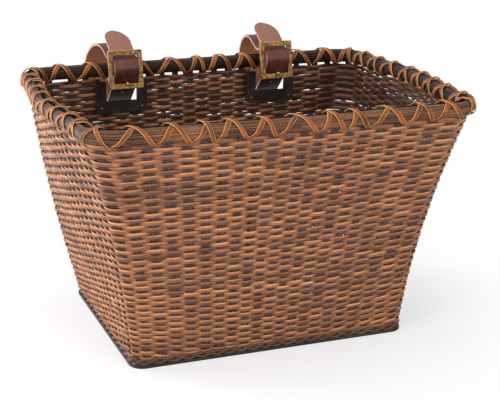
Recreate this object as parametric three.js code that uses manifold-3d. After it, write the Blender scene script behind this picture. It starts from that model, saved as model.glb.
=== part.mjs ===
// Bicycle basket: a woven cane basket with a lashed rim, hung on a handlebar by two buckled leather straps.
// Millimetres, +Z up. X runs along the handlebar, +Y points at the bicycle, and the origin is the middle
// of the base's underside. The walls lean out, the back one least.
import * as THREE from 'three';
import { mergeVertices } from 'three/addons/utils/BufferGeometryUtils.js';
import Module from 'manifold-3d';

const wasm = await Module();
wasm.setup();

// Basket: the outlines run along the middle of the wall
const RIM_LENGTH = 326;
const RIM_DEPTH = 242;
const RIM_CORNER = 25;
const RIM_FRONT_BOW = 3.5;
const RIM_END_BOW = 8;
const BASE_LENGTH = 245;
const BASE_DEPTH = 188;
const BASE_CORNER = 10;
const BACK_LEAN = 15;
const BASKET_HEIGHT = 214;
const WALL_THICK = 3.6;
const FRONT_FLARE = 0.55;
const BACK_SWELL = 0.4;
const FIT = 0.3;

// Relief of the weave on the wall's outside: at each stake it stands out and dips in by turns. A course of
// it takes in two or so rows of cane.
const STAKES_CORNER = 3;
const STAKES_LONG = 18;
const STAKES_SHORT = 13;
const WEAVE_COURSES = 28;
const WEAVE_DEPTH = 1.2;
const TAB_ROOT = 0.6;

// Base
const BASE_HOOP_WIDTH = 6.4;
const BASE_HOOP_HEIGHT = 6;
const BASE_HOOP_ROUND = 1.6;
const BOARD_THICK = 4;

// Rim hoops, which hold the thin top of the wall between them
const RIM_HEIGHT = 12;
const HOOP_THICK = 5.5;
const TAB_THICK = 3;
const TAB_DROP = 1;
const RIM_POWER = 2.4;

// Cane lashing: two strips wound round the rim in opposite hands, in two lengths each
const LASH_TURNS = 21;
const LASH_STEPS = 10;
const LASH_WIDTH = 4;
const LASH_THICK = 0.9;
const LASH_GAP = 1;
const LASH_CROSS_GAP = 0.5;
const LASH_CROSS_RISE = 1.45;
const LASH_HOLE_WIDTH = 8.4;
const LASH_END_TURN = 0.04;

// Leather straps
const STRAP_SPACING = 148;
const STRAP_WIDTH = 22;
const STRAP_THICK = 2.6;
const STRAP_RIM_GAP = 0.5;
const LOOP_BORE = 22.4;
const LOOP_BACK = 25;
const LOOP_DROP = 40;
const LOOP_SINK = 11;
const LOOP_START_DEG = 128;
const LOOP_EXIT_DEG = -120;
const FOLD_RISE_DEG = 10;
const FOLD_GAP = 0.4;
const FOLD_PAST_RIVET = 3;
const FOLD_BEFORE_RIVET = 2.5;
const FOLD_STRAIGHT = 4;
const FOLD_EASE = 2;
const FREE_GAP = 0.4;
const FREE_BEND_DEG = 135;
const TIP_LENGTH = 34;
const TIP_RISE_DEG = 33;
const TIP_POINT = 10;
const TIP_END_WIDTH = 5;
const HOLE_RADIUS = 2.1;
const HOLE_PITCH = 20;

// Buckles
const BUCKLE_HEIGHT = 35.2;
const BUCKLE_SIDE = 4.4;
const BUCKLE_SIDE_PLAY = 0.6;
const BUCKLE_RAIL = 4.8;
const BUCKLE_THICK = 4;
const BUCKLE_CORNER = 0.8;
const BUCKLE_EDGE = 0.4;
const BUCKLE_TILT_DEG = 10;
const BUCKLE_STANDOFF = 13.2;
const BUCKLE_DROP = 2.5;
const BUCKLE_PLAY = 0.8;
const BUCKLE_PASS_DEG = 50;
const BAR_RADIUS = 1.1;
const BAR_SEAT = 2.4;

// Prongs
const PRONG_RADIUS = 1.1;
const PRONG_BALL = 1.7;
const PRONG_EYE_WALL = 1.3;
const PRONG_EYE_WIDTH = 3.6;
const PRONG_SLOT_GAP = 0.6;
const PRONG_ROOT_DEG = -100;

// Rivets through the straps' folds
const RIVET_REACH = 7.4;
const RIVET_SHANK = 1.4;
const RIVET_HEAD = 2.3;
const RIVET_CROWN = 1.6;
const RIVET_HEAD_HEIGHT = 0.6;

// Black frames round the strap windows, and their tacks
const FRAME_LEG = 9.5;
const FRAME_BAR = 11;
const FRAME_SIDE_PLAY = 3.75;
const FRAME_THICK = 3;
const FRAME_CORNER = 2.5;
const FRAME_LAP = 4;
const FRAME_BAR_LAP = 6;
const FRAME_STRAP_GAP = 1.9;
const TACK_HEAD = 2;
const TACK_CROWN = 1.2;
const TACK_CROWN_HEIGHT = 0.8;
const TACK_HEAD_HEIGHT = 1;
const TACK_SHANK = 0.8;
const TACK_INSET = 5;

// Facets of the outlines, the hoops and round pieces, and steps of the straps' and prongs' curves
const CORNER_STEPS = 5;
const LONG_STEPS = 8;
const SHORT_STEPS = 8;
const WALL_STEPS = 6;
const HOOP_STEPS = 8;
const ROUND_SIDES = 10;
const SLOT_SIDES = 16;
const ROUTE_STEPS = 2;
const WRAP_STEP_DEG = 40;
const ARCH_STEP_DEG = 32;
const LOOP_STEP_DEG = 30;
const PRONG_STEPS = 9;
const PRONG_SIDES = 12;
const BALL_SIDES = 8;
const BALL_RINGS = 6;

// Levels and places that follow from the sizes above
const WALL_FOOT = BASE_HOOP_HEIGHT + FIT;
const RIM_BOTTOM = BASKET_HEIGHT - RIM_HEIGHT;
const RIM_MIDDLE = BASKET_HEIGHT - RIM_HEIGHT / 2;
const TAB_TOP = BASKET_HEIGHT - TAB_DROP;
const BACK_Y = BASE_DEPTH / 2 + BACK_LEAN;
const RIM_CENTRE_Y = BACK_Y - RIM_DEPTH / 2;
const RIM_HALF = TAB_THICK / 2 + FIT + HOOP_THICK;
const LASH_REACH = LASH_GAP + 2 * LASH_THICK + LASH_CROSS_GAP;
const SHOULDER = RIM_BOTTOM - LASH_REACH - 2 * FIT;
const FRAME_OPENING = STRAP_WIDTH + 2 * FRAME_SIDE_PLAY;
const BUCKLE_WIDTH = STRAP_WIDTH + 2 * (BUCKLE_SIDE + BUCKLE_SIDE_PLAY);
const BAR_LENGTH = BUCKLE_WIDTH - 2 * BUCKLE_SIDE + 2 * BAR_SEAT;

const radians = THREE.MathUtils.degToRad;

// A polar step in the Y Z plane
const polar = (centre, angle, across, up) =>
  new THREE.Vector2(centre.x + across * Math.cos(angle), centre.y + up * Math.sin(angle));

// Materials
const MATERIALS = {
  weave: { color: 0x7a5238, roughness: 0.6, metalness: 0 },
  hoop: { color: 0x4a3228, roughness: 0.5, metalness: 0 },
  base: { color: 0x33251f, roughness: 0.7, metalness: 0 },
  lash: { color: 0xa8703f, roughness: 0.5, metalness: 0 },
  frame: { color: 0x1c1816, roughness: 0.6, metalness: 0 },
  leather: { color: 0x5b342c, roughness: 0.5, metalness: 0 },
  brass: { color: 0x8a6a36, roughness: 0.4, metalness: 1 },
  steel: { color: 0x9a948a, roughness: 0.35, metalness: 1 },
};

const basket = new THREE.Group();

function addPart(parent, name, geometry, finish) {
  const mesh = new THREE.Mesh(geometry, new THREE.MeshStandardMaterial(MATERIALS[finish]));
  mesh.name = name;
  parent.add(mesh);
  return mesh;
}

// Keeps only the positions and joins equal corners, which a closed solid needs
function welded(geometry) {
  const plain = geometry.index ? geometry.toNonIndexed() : geometry.clone();
  for (const key of Object.keys(plain.attributes)) {
    if (key !== 'position') plain.deleteAttribute(key);
  }
  return mergeVertices(plain, 1e-4);
}

function solid(geometry) {
  const closed = welded(geometry);
  return new wasm.Manifold(new wasm.Mesh({
    numProp: 3,
    vertProperties: new Float32Array(closed.attributes.position.array),
    triVerts: new Uint32Array(closed.index.array),
  }));
}

function shell(manifold) {
  const { vertProperties, triVerts, numProp } = manifold.getMesh();
  const geometry = new THREE.BufferGeometry();
  const positions = new Float32Array(vertProperties.length / numProp * 3);
  for (let i = 0; i < positions.length / 3; i += 1) {
    positions.set(vertProperties.subarray(i * numProp, i * numProp + 3), i * 3);
  }
  geometry.setAttribute('position', new THREE.BufferAttribute(positions, 3));
  geometry.setIndex(new THREE.BufferAttribute(new Uint32Array(triVerts), 1));
  geometry.computeVertexNormals();
  return geometry;
}

function cutAll(geometry, cutters) {
  const tools = cutters.map(solid);
  return shell(tools.reduce((body, tool) => body.subtract(tool), solid(geometry)));
}

// A closed solid through rings of equal length: round and back to the first ring, or capped at both ends.
// rises tells where a face's fold runs from its ring's point to the next ring's next point.
function loft(rings, closed, rises = () => true) {
  const sides = rings[0].length;
  const positions = rings.flat().flatMap((point) => point.toArray());
  const index = [];
  const spans = closed ? rings.length : rings.length - 1;
  for (let i = 0; i < spans; i += 1) {
    const here = i * sides;
    const next = ((i + 1) % rings.length) * sides;
    for (let j = 0; j < sides; j += 1) {
      const k = (j + 1) % sides;
      if (rises(i, j)) {
        index.push(here + j, next + j, next + k, here + j, next + k, here + k);
      } else {
        index.push(here + j, next + j, here + k, next + j, next + k, here + k);
      }
    }
  }
  if (!closed) {
    const last = (rings.length - 1) * sides;
    for (let j = 1; j < sides - 1; j += 1) {
      index.push(0, j, j + 1, last, last + j + 1, last + j);
    }
  }
  const geometry = new THREE.BufferGeometry();
  geometry.setAttribute('position', new THREE.Float32BufferAttribute(positions, 3));
  geometry.setIndex(index);
  return facedOut(geometry);
}

// Turns every face over where the solid's signed volume is negative
function facedOut(geometry) {
  const corners = geometry.attributes.position;
  const index = geometry.index.array;
  const [a, b, c] = [new THREE.Vector3(), new THREE.Vector3(), new THREE.Vector3()];
  let volume = 0;
  for (let i = 0; i < index.length; i += 3) {
    a.fromBufferAttribute(corners, index[i]);
    b.fromBufferAttribute(corners, index[i + 1]);
    c.fromBufferAttribute(corners, index[i + 2]);
    volume += a.dot(b.cross(c));
  }
  if (volume < 0) {
    for (let i = 0; i < index.length; i += 3) {
      [index[i + 1], index[i + 2]] = [index[i + 2], index[i + 1]];
    }
  }
  geometry.computeVertexNormals();
  return geometry;
}

// Rounded rectangle, anticlockwise from the front right corner. grow moves it out, and the bows bulge the
// front and the two ends by a squared sine, so that they leave the corners without a kink. steps counts
// the points on a corner, a long side and a short side.
const PLAIN_STEPS = { corner: CORNER_STEPS, long: LONG_STEPS, short: SHORT_STEPS };
const STAKE_STEPS = { corner: STAKES_CORNER, long: STAKES_LONG, short: STAKES_SHORT };

function outline(length, depth, corner, centreY, frontBow, endBow, grow, steps) {
  const x = length / 2 - corner;
  const y = depth / 2 - corner;
  const radius = corner + grow;
  const corners = [[x, -y, -90], [x, y, 0], [-x, y, 90], [-x, -y, 180]];
  const bows = [[endBow, 0], [0, 0], [-endBow, 0], [0, -frontBow]];
  const arcs = corners.map(([cx, cy, start]) => {
    const points = [];
    for (let k = 0; k <= steps.corner; k += 1) {
      const angle = radians(start + 90 * k / steps.corner);
      points.push(new THREE.Vector2(cx + radius * Math.cos(angle), centreY + cy + radius * Math.sin(angle)));
    }
    return points;
  });
  const points = [];
  arcs.forEach((arc, i) => {
    const count = i % 2 === 0 ? steps.short : steps.long;
    const from = arc[steps.corner];
    const to = arcs[(i + 1) % arcs.length][0];
    points.push(...arc);
    for (let k = 1; k < count; k += 1) {
      const swell = Math.sin(Math.PI * k / count) ** 2;
      const point = from.clone().lerp(to, k / count);
      points.push(point.add(new THREE.Vector2(bows[i][0] * swell, bows[i][1] * swell)));
    }
  });
  return points;
}

const rimOutline = (grow, steps = PLAIN_STEPS) =>
  outline(RIM_LENGTH, RIM_DEPTH, RIM_CORNER, RIM_CENTRE_Y, RIM_FRONT_BOW, RIM_END_BOW, grow, steps);
const baseOutline = (grow, steps = PLAIN_STEPS) =>
  outline(BASE_LENGTH, BASE_DEPTH, BASE_CORNER, 0, 0, 0, grow, steps);

// How far the wall has gone from the base's outline to the rim's at a height. In front it flares towards
// the top, and at the back it swells and steepens there.
function wallBlend(height, y) {
  const share = Math.min((height - WALL_FOOT) / (SHOULDER - WALL_FOOT), 1);
  const curve = THREE.MathUtils.lerp(-FRONT_FLARE, BACK_SWELL, y / BASE_DEPTH + 0.5);
  return share + curve * share * (1 - share);
}

function wallOutline(height, grow, steps) {
  const rim = rimOutline(grow, steps);
  return baseOutline(grow, steps).map((point, i) => point.lerp(rim[i], wallBlend(height, point.y)));
}

const atHeight = (line, height) => line.map((point) => new THREE.Vector3(point.x, point.y, height));

// Carries a section of [outline, height] pairs round the basket
function hoopOf(section) {
  const rings = section[0][0].map((_, i) =>
    section.map(([line, height]) => new THREE.Vector3(line[i].x, line[i].y, height)));
  return loft(rings, true);
}

function flatShape(points) {
  const shape = new THREE.Shape();
  shape.setFromPoints(points);
  return shape;
}

// A cylinder along X, and one along any direction
const rodX = (radius, length, sides = ROUND_SIDES) =>
  new THREE.CylinderGeometry(radius, radius, length, sides).rotateZ(Math.PI / 2);

function rodAlong(centre, direction, radius, length) {
  const turn = new THREE.Quaternion().setFromUnitVectors(new THREE.Vector3(0, 1, 0), direction);
  const rod = new THREE.CylinderGeometry(radius, radius, length, ROUND_SIDES).applyQuaternion(turn);
  return rod.translate(centre.x, centre.y, centre.z);
}

const inPlane = (point) => new THREE.Vector3(0, point.x, point.y);

// Section of the rim: a rounded oval, by its angle from the outward direction, grown by grow
function rimOval(angle, grow) {
  const power = 2 / RIM_POWER;
  const across = Math.sign(Math.cos(angle)) * Math.abs(Math.cos(angle)) ** power;
  const up = Math.sign(Math.sin(angle)) * Math.abs(Math.sin(angle)) ** power;
  return new THREE.Vector2((RIM_HALF + grow) * across, (RIM_HEIGHT / 2 + grow) * up);
}

// One hoop is the part of the oval that lies beyond the wall's tab, on one side of it
function rimHoop(side) {
  const flat = TAB_THICK / 2 + FIT;
  const limit = Math.acos((flat / RIM_HALF) ** (RIM_POWER / 2));
  const section = [];
  for (let k = 0; k <= HOOP_STEPS; k += 1) {
    const point = rimOval(limit * (2 * k / HOOP_STEPS - 1), 0);
    section.push([rimOutline(side * point.x), RIM_MIDDLE + point.y]);
  }
  return hoopOf(section);
}

// Distance along the rim's outline, and the point there grown outwards
const rimLine = rimOutline(0);
const rimSteps = rimLine.map((point, i) => point.distanceTo(rimLine[(i + 1) % rimLine.length]));
const RIM_ROUND = rimSteps.reduce((sum, step) => sum + step, 0);

function rimPoint(distance, grow) {
  let rest = ((distance % RIM_ROUND) + RIM_ROUND) % RIM_ROUND;
  let i = 0;
  while (rest > rimSteps[i]) {
    rest -= rimSteps[i];
    i += 1;
  }
  const line = rimOutline(grow);
  return line[i].clone().lerp(line[(i + 1) % line.length], rest / rimSteps[i]);
}

// Lashing. The holes lie a pitch apart, from the middle of the left end. A strip goes once round the rim
// from each hole to the next, and the left-hand strip rides over the right-hand one where they cross.
const LASH_PITCH = RIM_ROUND / (2 * LASH_TURNS);
const FRONT_MIDDLE = RIM_ROUND - rimSteps.slice(-LONG_STEPS).reduce((sum, step) => sum + step, 0) / 2;
const LASH_START = FRONT_MIDDLE - RIM_ROUND / 4;

function lashPoint(turn, hand, lift) {
  const angle = hand * 2 * Math.PI * turn - Math.PI / 2;
  const rise = Math.min(LASH_CROSS_RISE * Math.sin(angle) ** 2, 1);
  const over = hand < 0 ? (LASH_THICK + LASH_CROSS_GAP) * rise : 0;
  const section = rimOval(angle, LASH_GAP + over + lift);
  const place = rimPoint(LASH_START + turn * LASH_PITCH, section.x);
  return new THREE.Vector3(place.x, place.y, RIM_MIDDLE + section.y);
}

function lashing(name, hand, firstTurn) {
  const small = 1e-3;
  const count = LASH_TURNS * LASH_STEPS;
  const middles = [];
  const rings = [];
  for (let k = 0; k <= count; k += 1) {
    const share = THREE.MathUtils.clamp(k / LASH_STEPS, LASH_END_TURN, LASH_TURNS - LASH_END_TURN);
    const turn = firstTurn + share;
    const low = lashPoint(turn, hand, 0);
    const high = lashPoint(turn, hand, LASH_THICK);
    const along = lashPoint(turn + small, hand, 0).sub(lashPoint(turn - small, hand, 0)).normalize();
    const across = along.cross(high.clone().sub(low)).setLength(hand * LASH_WIDTH / 2);
    rings.push([low.clone().add(across), low.clone().sub(across),
      high.clone().sub(across), high.clone().add(across)]);
    middles.push(low);
  }
  let gap = Infinity;
  middles.forEach((point, i) => {
    for (let j = i + LASH_STEPS; j < middles.length; j += 1) {
      gap = Math.min(gap, point.distanceTo(middles[j]) - LASH_WIDTH);
    }
  });
  console.log(`${name}: least gap to itself ${gap.toFixed(2)} mm`);
  return loft(rings, false);
}

// Cutters of the holes that the lashing passes through, under the hoops
function lashHoles() {
  const low = RIM_BOTTOM - LASH_REACH - FIT;
  const high = RIM_BOTTOM + FIT;
  const cutters = [];
  for (let k = 0; k < 2 * LASH_TURNS; k += 1) {
    const inside = rimPoint(LASH_START + k * LASH_PITCH, -WALL_THICK);
    const outside = rimPoint(LASH_START + k * LASH_PITCH, WALL_THICK);
    const out = outside.clone().sub(inside);
    const cutter = new THREE.BoxGeometry(out.length(), LASH_HOLE_WIDTH, high - low);
    cutter.rotateZ(out.angle());
    cutter.translate((inside.x + outside.x) / 2, (inside.y + outside.y) / 2, (low + high) / 2);
    cutters.push(cutter);
  }
  return cutters;
}

// The straps' route in the Y Z plane, as Vector2(y, z), from the riveted fold round the buckle's bar,
// over the rim, round the handlebar loop, in through the window and up through the buckle to the tip
const BUCKLE_BAR = new THREE.Vector2(BACK_Y - RIM_HALF - BUCKLE_STANDOFF, BASKET_HEIGHT - BUCKLE_DROP);
const tilt = radians(BUCKLE_TILT_DEG);
const BUCKLE_UP = new THREE.Vector2(Math.sin(tilt), Math.cos(tilt));
const BUCKLE_BEHIND = new THREE.Vector2(Math.cos(tilt), -Math.sin(tilt));
const WRAP = BAR_RADIUS + FIT + STRAP_THICK / 2;
const OVER_RIM = BASKET_HEIGHT + LASH_REACH + STRAP_RIM_GAP + STRAP_THICK / 2;
const LOOP_CENTRE = new THREE.Vector2(BACK_Y + LOOP_BACK, BASKET_HEIGHT - LOOP_SINK);
const LOOP_RADIUS = LOOP_BORE + STRAP_THICK / 2;

const onBuckle = (up, behind) =>
  BUCKLE_BAR.clone().addScaledVector(BUCKLE_UP, up).addScaledVector(BUCKLE_BEHIND, behind);

const foldAngle = radians(FOLD_RISE_DEG);
const FOLD_ALONG = new THREE.Vector2(Math.cos(foldAngle), Math.sin(foldAngle));
const FOLD_UP = new THREE.Vector2(-Math.sin(foldAngle), Math.cos(foldAngle));
const FOLD_LAYER = STRAP_THICK + FOLD_GAP;
const RIVET_TOP = new THREE.Vector2(BUCKLE_BAR.x + RIVET_REACH, OVER_RIM - STRAP_RIM_GAP);
const onFold = (along, up) =>
  RIVET_TOP.clone().addScaledVector(FOLD_ALONG, along).addScaledVector(FOLD_UP, up);

const RAIL_INNER = BUCKLE_HEIGHT / 2 - BUCKLE_RAIL;
const RAIL_CLEAR = STRAP_THICK / 2 + BUCKLE_PLAY;
const passAngle = radians(BUCKLE_PASS_DEG);
const UNDER_RAIL = polar(onBuckle(-RAIL_INNER, BUCKLE_THICK / 2), passAngle, RAIL_CLEAR, RAIL_CLEAR);
const OVER_RAIL = polar(onBuckle(RAIL_INNER, BUCKLE_THICK / 2), -passAngle, RAIL_CLEAR, RAIL_CLEAR);
const LOOP_EXIT = polar(LOOP_CENTRE, radians(LOOP_EXIT_DEG), LOOP_RADIUS, LOOP_DROP);
const onTip = (share) => polar(OVER_RAIL, radians(TIP_RISE_DEG), TIP_LENGTH * share, TIP_LENGTH * share);

// The fold wraps the bar from its upper back, down round its front, and leaves it at the upper front
function strapRoute() {
  const wrapAt = (degrees, ease) => polar(BUCKLE_BAR, radians(degrees), WRAP + ease, WRAP + ease);
  const route = [FOLD_PAST_RIVET, 0, -FOLD_BEFORE_RIVET].map((along) => onFold(along, -FOLD_LAYER));
  for (let degrees = 20; degrees >= -180; degrees -= WRAP_STEP_DEG) route.push(wrapAt(degrees, 0));
  const bend = wrapAt(102, FOLD_EASE);
  route.push(wrapAt(140, 0.3 * FOLD_EASE), bend);
  for (const along of [-FOLD_STRAIGHT, 0, FOLD_STRAIGHT]) route.push(onFold(along, 0));
  for (const side of [-1, 1]) route.push(new THREE.Vector2(BACK_Y + side * RIM_HALF / 2, OVER_RIM));
  for (let degrees = LOOP_START_DEG; degrees > 0; degrees -= ARCH_STEP_DEG) {
    route.push(polar(LOOP_CENTRE, radians(degrees), LOOP_RADIUS, LOOP_RADIUS));
  }
  for (let degrees = 0; degrees >= LOOP_EXIT_DEG; degrees -= LOOP_STEP_DEG) {
    route.push(polar(LOOP_CENTRE, radians(degrees), LOOP_RADIUS, LOOP_DROP));
  }
  for (const share of [0.3, 0.6, 0.85, 1]) route.push(LOOP_EXIT.clone().lerp(UNDER_RAIL, share));
  const clear = STRAP_THICK + FREE_GAP;
  route.push(new THREE.Vector2(BUCKLE_BAR.x - WRAP - clear, BUCKLE_BAR.y + BAR_RADIUS));
  route.push(polar(bend, radians(FREE_BEND_DEG), clear, clear));
  for (const share of [0, 0.25, 0.5, 0.7, 0.8, 0.9, 1]) route.push(onTip(share));
  return route;
}

const routePoints = strapRoute();
const routeCurve = new THREE.CatmullRomCurve3(routePoints.map(inPlane), false, 'centripetal');
const strapLine = routeCurve.getPoints((routePoints.length - 1) * ROUTE_STEPS);
const strapDistance = [0];
strapLine.forEach((point, i) => {
  if (i > 0) strapDistance.push(strapDistance[i - 1] + point.distanceTo(strapLine[i - 1]));
});
const STRAP_LENGTH = strapDistance[strapLine.length - 1];
console.log(`strap length ${STRAP_LENGTH.toFixed(1)} mm`);

const strapNormals = strapLine.map((_, i) => {
  const before = strapLine[Math.max(i - 1, 0)];
  const after = strapLine[Math.min(i + 1, strapLine.length - 1)];
  const along = after.clone().sub(before).normalize();
  return new THREE.Vector3(0, -along.z, along.y);
});

// The strap's half width: full along its length, and an ellipse's at the pointed tip
function strapHalfWidth(distance) {
  const share = Math.min((STRAP_LENGTH - distance) / TIP_POINT, 1);
  const round = Math.sqrt(1 - (1 - share) ** 2);
  return Math.max(STRAP_WIDTH * round, TIP_END_WIDTH) / 2;
}

// Index of the sample nearest to a point of the route, within the stretch after a share of the length
function routeIndex(target, fromShare) {
  let best = -1;
  let least = Infinity;
  strapLine.forEach((point, i) => {
    const gap = point.distanceTo(target);
    if (strapDistance[i] >= fromShare * STRAP_LENGTH && gap < least) [best, least] = [i, gap];
  });
  return best;
}

function onStrap(distance) {
  const i = strapDistance.findIndex((value) => value > distance);
  const share = (distance - strapDistance[i - 1]) / (strapDistance[i] - strapDistance[i - 1]);
  const centre = strapLine[i - 1].clone().lerp(strapLine[i], share);
  const normal = strapNormals[i - 1].clone().lerp(strapNormals[i], share).normalize();
  return { centre, normal };
}

// The prong goes through the strap a little above the buckle's lower rail
const PRONG_HOLE = strapDistance[routeIndex(inPlane(UNDER_RAIL), 0.5)] + HOLE_RADIUS + PRONG_RADIUS;
const PRONG_EYE = BAR_RADIUS + FIT + PRONG_EYE_WALL;
const FOLD_OUTER = WRAP + STRAP_THICK / 2;

function leatherStrap() {
  const rings = strapLine.map((centre, i) => {
    const half = strapHalfWidth(strapDistance[i]);
    const up = strapNormals[i].clone().multiplyScalar(STRAP_THICK / 2);
    const side = new THREE.Vector3(half, 0, 0);
    return [centre.clone().add(up).sub(side), centre.clone().add(up).add(side),
      centre.clone().sub(up).add(side), centre.clone().sub(up).sub(side)];
  });
  const slotWidth = PRONG_EYE_WIDTH + 2 * PRONG_SLOT_GAP;
  const slot = rodX(FOLD_OUTER + FREE_GAP / 3, slotWidth, SLOT_SIDES);
  const cutters = [slot.translate(0, BUCKLE_BAR.x, BUCKLE_BAR.y)];
  for (const pitch of [-2, -1, 0, 1]) {
    const { centre, normal } = onStrap(PRONG_HOLE + pitch * HOLE_PITCH);
    cutters.push(rodAlong(centre, normal, HOLE_RADIUS, STRAP_THICK + RAIL_CLEAR));
  }
  const riveted = inPlane(onFold(0, -FOLD_LAYER / 2));
  cutters.push(rodAlong(riveted, inPlane(FOLD_UP), RIVET_SHANK + FIT, 2 * FOLD_LAYER + 2 * FIT));
  return cutAll(loft(rings, false), cutters);
}

// Lathe round the Z axis from [radius, height] pairs that start and end on the axis
function turned(profile) {
  const points = profile.map(([radius, height]) => new THREE.Vector2(radius, height));
  return new THREE.LatheGeometry(points, ROUND_SIDES).rotateX(Math.PI / 2);
}

function rivet() {
  const grip = (STRAP_THICK + FOLD_LAYER) / 2 + FIT;
  const dome = grip + RIVET_HEAD_HEIGHT;
  return turned([[0, -dome], [RIVET_CROWN, -dome], [RIVET_HEAD, -grip], [RIVET_SHANK, -grip],
    [RIVET_SHANK, grip], [RIVET_HEAD, grip], [RIVET_CROWN, dome], [0, dome]]);
}

function buckleFrame() {
  const x = BUCKLE_WIDTH / 2 - BUCKLE_EDGE;
  const y = BUCKLE_HEIGHT / 2 - BUCKLE_EDGE;
  const c = BUCKLE_CORNER;
  const plate = flatShape([[-x + c, -y], [x - c, -y], [x, -y + c], [x, y - c], [x - c, y], [-x + c, y],
    [-x, y - c], [-x, -y + c]].map(([px, py]) => new THREE.Vector2(px, py)));
  const inX = BUCKLE_WIDTH / 2 - BUCKLE_SIDE + BUCKLE_EDGE;
  const inY = RAIL_INNER + BUCKLE_EDGE;
  plate.holes.push(new THREE.Path([[-inX, -inY], [-inX, inY], [inX, inY], [inX, -inY]]
    .map(([px, py]) => new THREE.Vector2(px, py))));
  const depth = BUCKLE_THICK - 2 * BUCKLE_EDGE;
  const body = new THREE.ExtrudeGeometry(plate, {
    depth, bevelEnabled: true, bevelThickness: BUCKLE_EDGE, bevelSize: BUCKLE_EDGE, bevelSegments: 1,
  });
  body.translate(0, 0, -depth / 2);
  return cutAll(body, [rodX(BAR_RADIUS + FIT, BAR_LENGTH + 2 * FIT)]);
}

// The prong, in the strap's Y Z plane: an eye round the bar, a bent tongue through the strap, a ball end
function prong() {
  const { centre, normal } = onStrap(PRONG_HOLE);
  const hole = new THREE.Vector2(centre.y, centre.z);
  const through = new THREE.Vector2(normal.y, normal.z);
  if (through.x > 0) through.negate();
  const ball = onBuckle(-RAIL_INNER - 0.7 * PRONG_BALL, -BUCKLE_THICK / 2 - 2 * FIT - PRONG_BALL);
  const root = PRONG_EYE - 0.6 * PRONG_RADIUS;
  const points = [polar(BUCKLE_BAR, radians(PRONG_ROOT_DEG), root, root),
    hole.clone().addScaledVector(through, -STRAP_THICK), hole,
    hole.clone().addScaledVector(through, 0.8 * STRAP_THICK), ball];
  const path = new THREE.CatmullRomCurve3(points.map(inPlane), false, 'centripetal');
  const round = new THREE.Shape().absarc(0, 0, PRONG_RADIUS, 0, 2 * Math.PI);
  const sweep = { extrudePath: path, steps: PRONG_STEPS, curveSegments: PRONG_SIDES / 2 };
  const tongue = new THREE.ExtrudeGeometry(round, sweep);
  const knob = new THREE.SphereGeometry(PRONG_BALL, BALL_SIDES, BALL_RINGS).translate(0, ball.x, ball.y);
  const eye = rodX(PRONG_EYE, PRONG_EYE_WIDTH).translate(0, BUCKLE_BAR.x, BUCKLE_BAR.y);
  const bore = rodX(BAR_RADIUS + FIT, PRONG_EYE_WIDTH * 2).translate(0, BUCKLE_BAR.x, BUCKLE_BAR.y);
  return shell(solid(eye).add(solid(tongue)).add(solid(knob)).subtract(solid(bore)));
}

// Strap windows: the strap's lower face passes just above the frame's lower bar. The frames stand upright,
// and their lower edge lies against the wall.
const strapFall = UNDER_RAIL.clone().sub(LOOP_EXIT);
const wallInside = BACK_Y - WALL_THICK / 2;
const strapLevel = UNDER_RAIL.y + (UNDER_RAIL.x - wallInside) * strapFall.y / -strapFall.x;
const strapHalfDrop = STRAP_THICK / 2 * strapFall.length() / Math.abs(strapFall.x);
const FRAME_BAR_TOP = strapLevel - strapHalfDrop - FRAME_STRAP_GAP;
const FRAME_LOW = FRAME_BAR_TOP - FRAME_BAR;
const FRAME_LEAN = BACK_LEAN * (1 - wallBlend(FRAME_LOW, BASE_DEPTH / 2));
const FRAME_BACK = wallInside - FRAME_LEAN - FIT;
const FRAME_TOP = RIM_BOTTOM - LASH_REACH - FIT;
const TACK_LEVEL = FRAME_LOW + TACK_INSET;
const TACK_SIDE = FRAME_OPENING / 2 + FRAME_LEG - TACK_INSET;

function windowCutter(centreX) {
  const low = FRAME_BAR_TOP - FRAME_BAR_LAP;
  const cutter = new THREE.BoxGeometry(FRAME_OPENING + 2 * FRAME_LAP, WALL_THICK * 3, SHOULDER - low);
  return cutter.translate(centreX, BACK_Y, (SHOULDER + low) / 2);
}

function tackHole(x) {
  const length = 2 * (WALL_THICK + FRAME_THICK);
  const middle = new THREE.Vector3(x, FRAME_BACK, TACK_LEVEL);
  return rodAlong(middle, new THREE.Vector3(0, 1, 0), TACK_SHANK + FIT, length);
}

// A U of two legs and a lower bar, with its lower corners rounded
function strapFrame(centreX) {
  const inner = FRAME_OPENING / 2;
  const outer = inner + FRAME_LEG;
  const bend = FRAME_LOW + FRAME_CORNER;
  const shape = new THREE.Shape();
  shape.moveTo(-outer, FRAME_TOP);
  shape.lineTo(-outer, bend);
  shape.absarc(-outer + FRAME_CORNER, bend, FRAME_CORNER, Math.PI, Math.PI * 1.5);
  shape.absarc(outer - FRAME_CORNER, bend, FRAME_CORNER, Math.PI * 1.5, Math.PI * 2);
  shape.lineTo(outer, FRAME_TOP);
  shape.lineTo(inner, FRAME_TOP);
  shape.lineTo(inner, FRAME_BAR_TOP);
  shape.lineTo(-inner, FRAME_BAR_TOP);
  shape.lineTo(-inner, FRAME_TOP);
  const sheet = { depth: FRAME_THICK, bevelEnabled: false, curveSegments: CORNER_STEPS - 1 };
  const plate = new THREE.ExtrudeGeometry(shape, sheet);
  plate.rotateX(Math.PI / 2).translate(centreX, FRAME_BACK, 0);
  return cutAll(plate, [tackHole(centreX - TACK_SIDE), tackHole(centreX + TACK_SIDE)]);
}

// A domed tack whose shank goes through the frame and the wall
function tack() {
  const reach = FRAME_THICK + FIT + WALL_THICK;
  return turned([[0, -TACK_HEAD_HEIGHT - FIT], [TACK_CROWN, -TACK_CROWN_HEIGHT - FIT], [TACK_HEAD, -FIT],
    [TACK_SHANK, -FIT], [TACK_SHANK, reach - TACK_SHANK], [0, reach]]);
}

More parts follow.
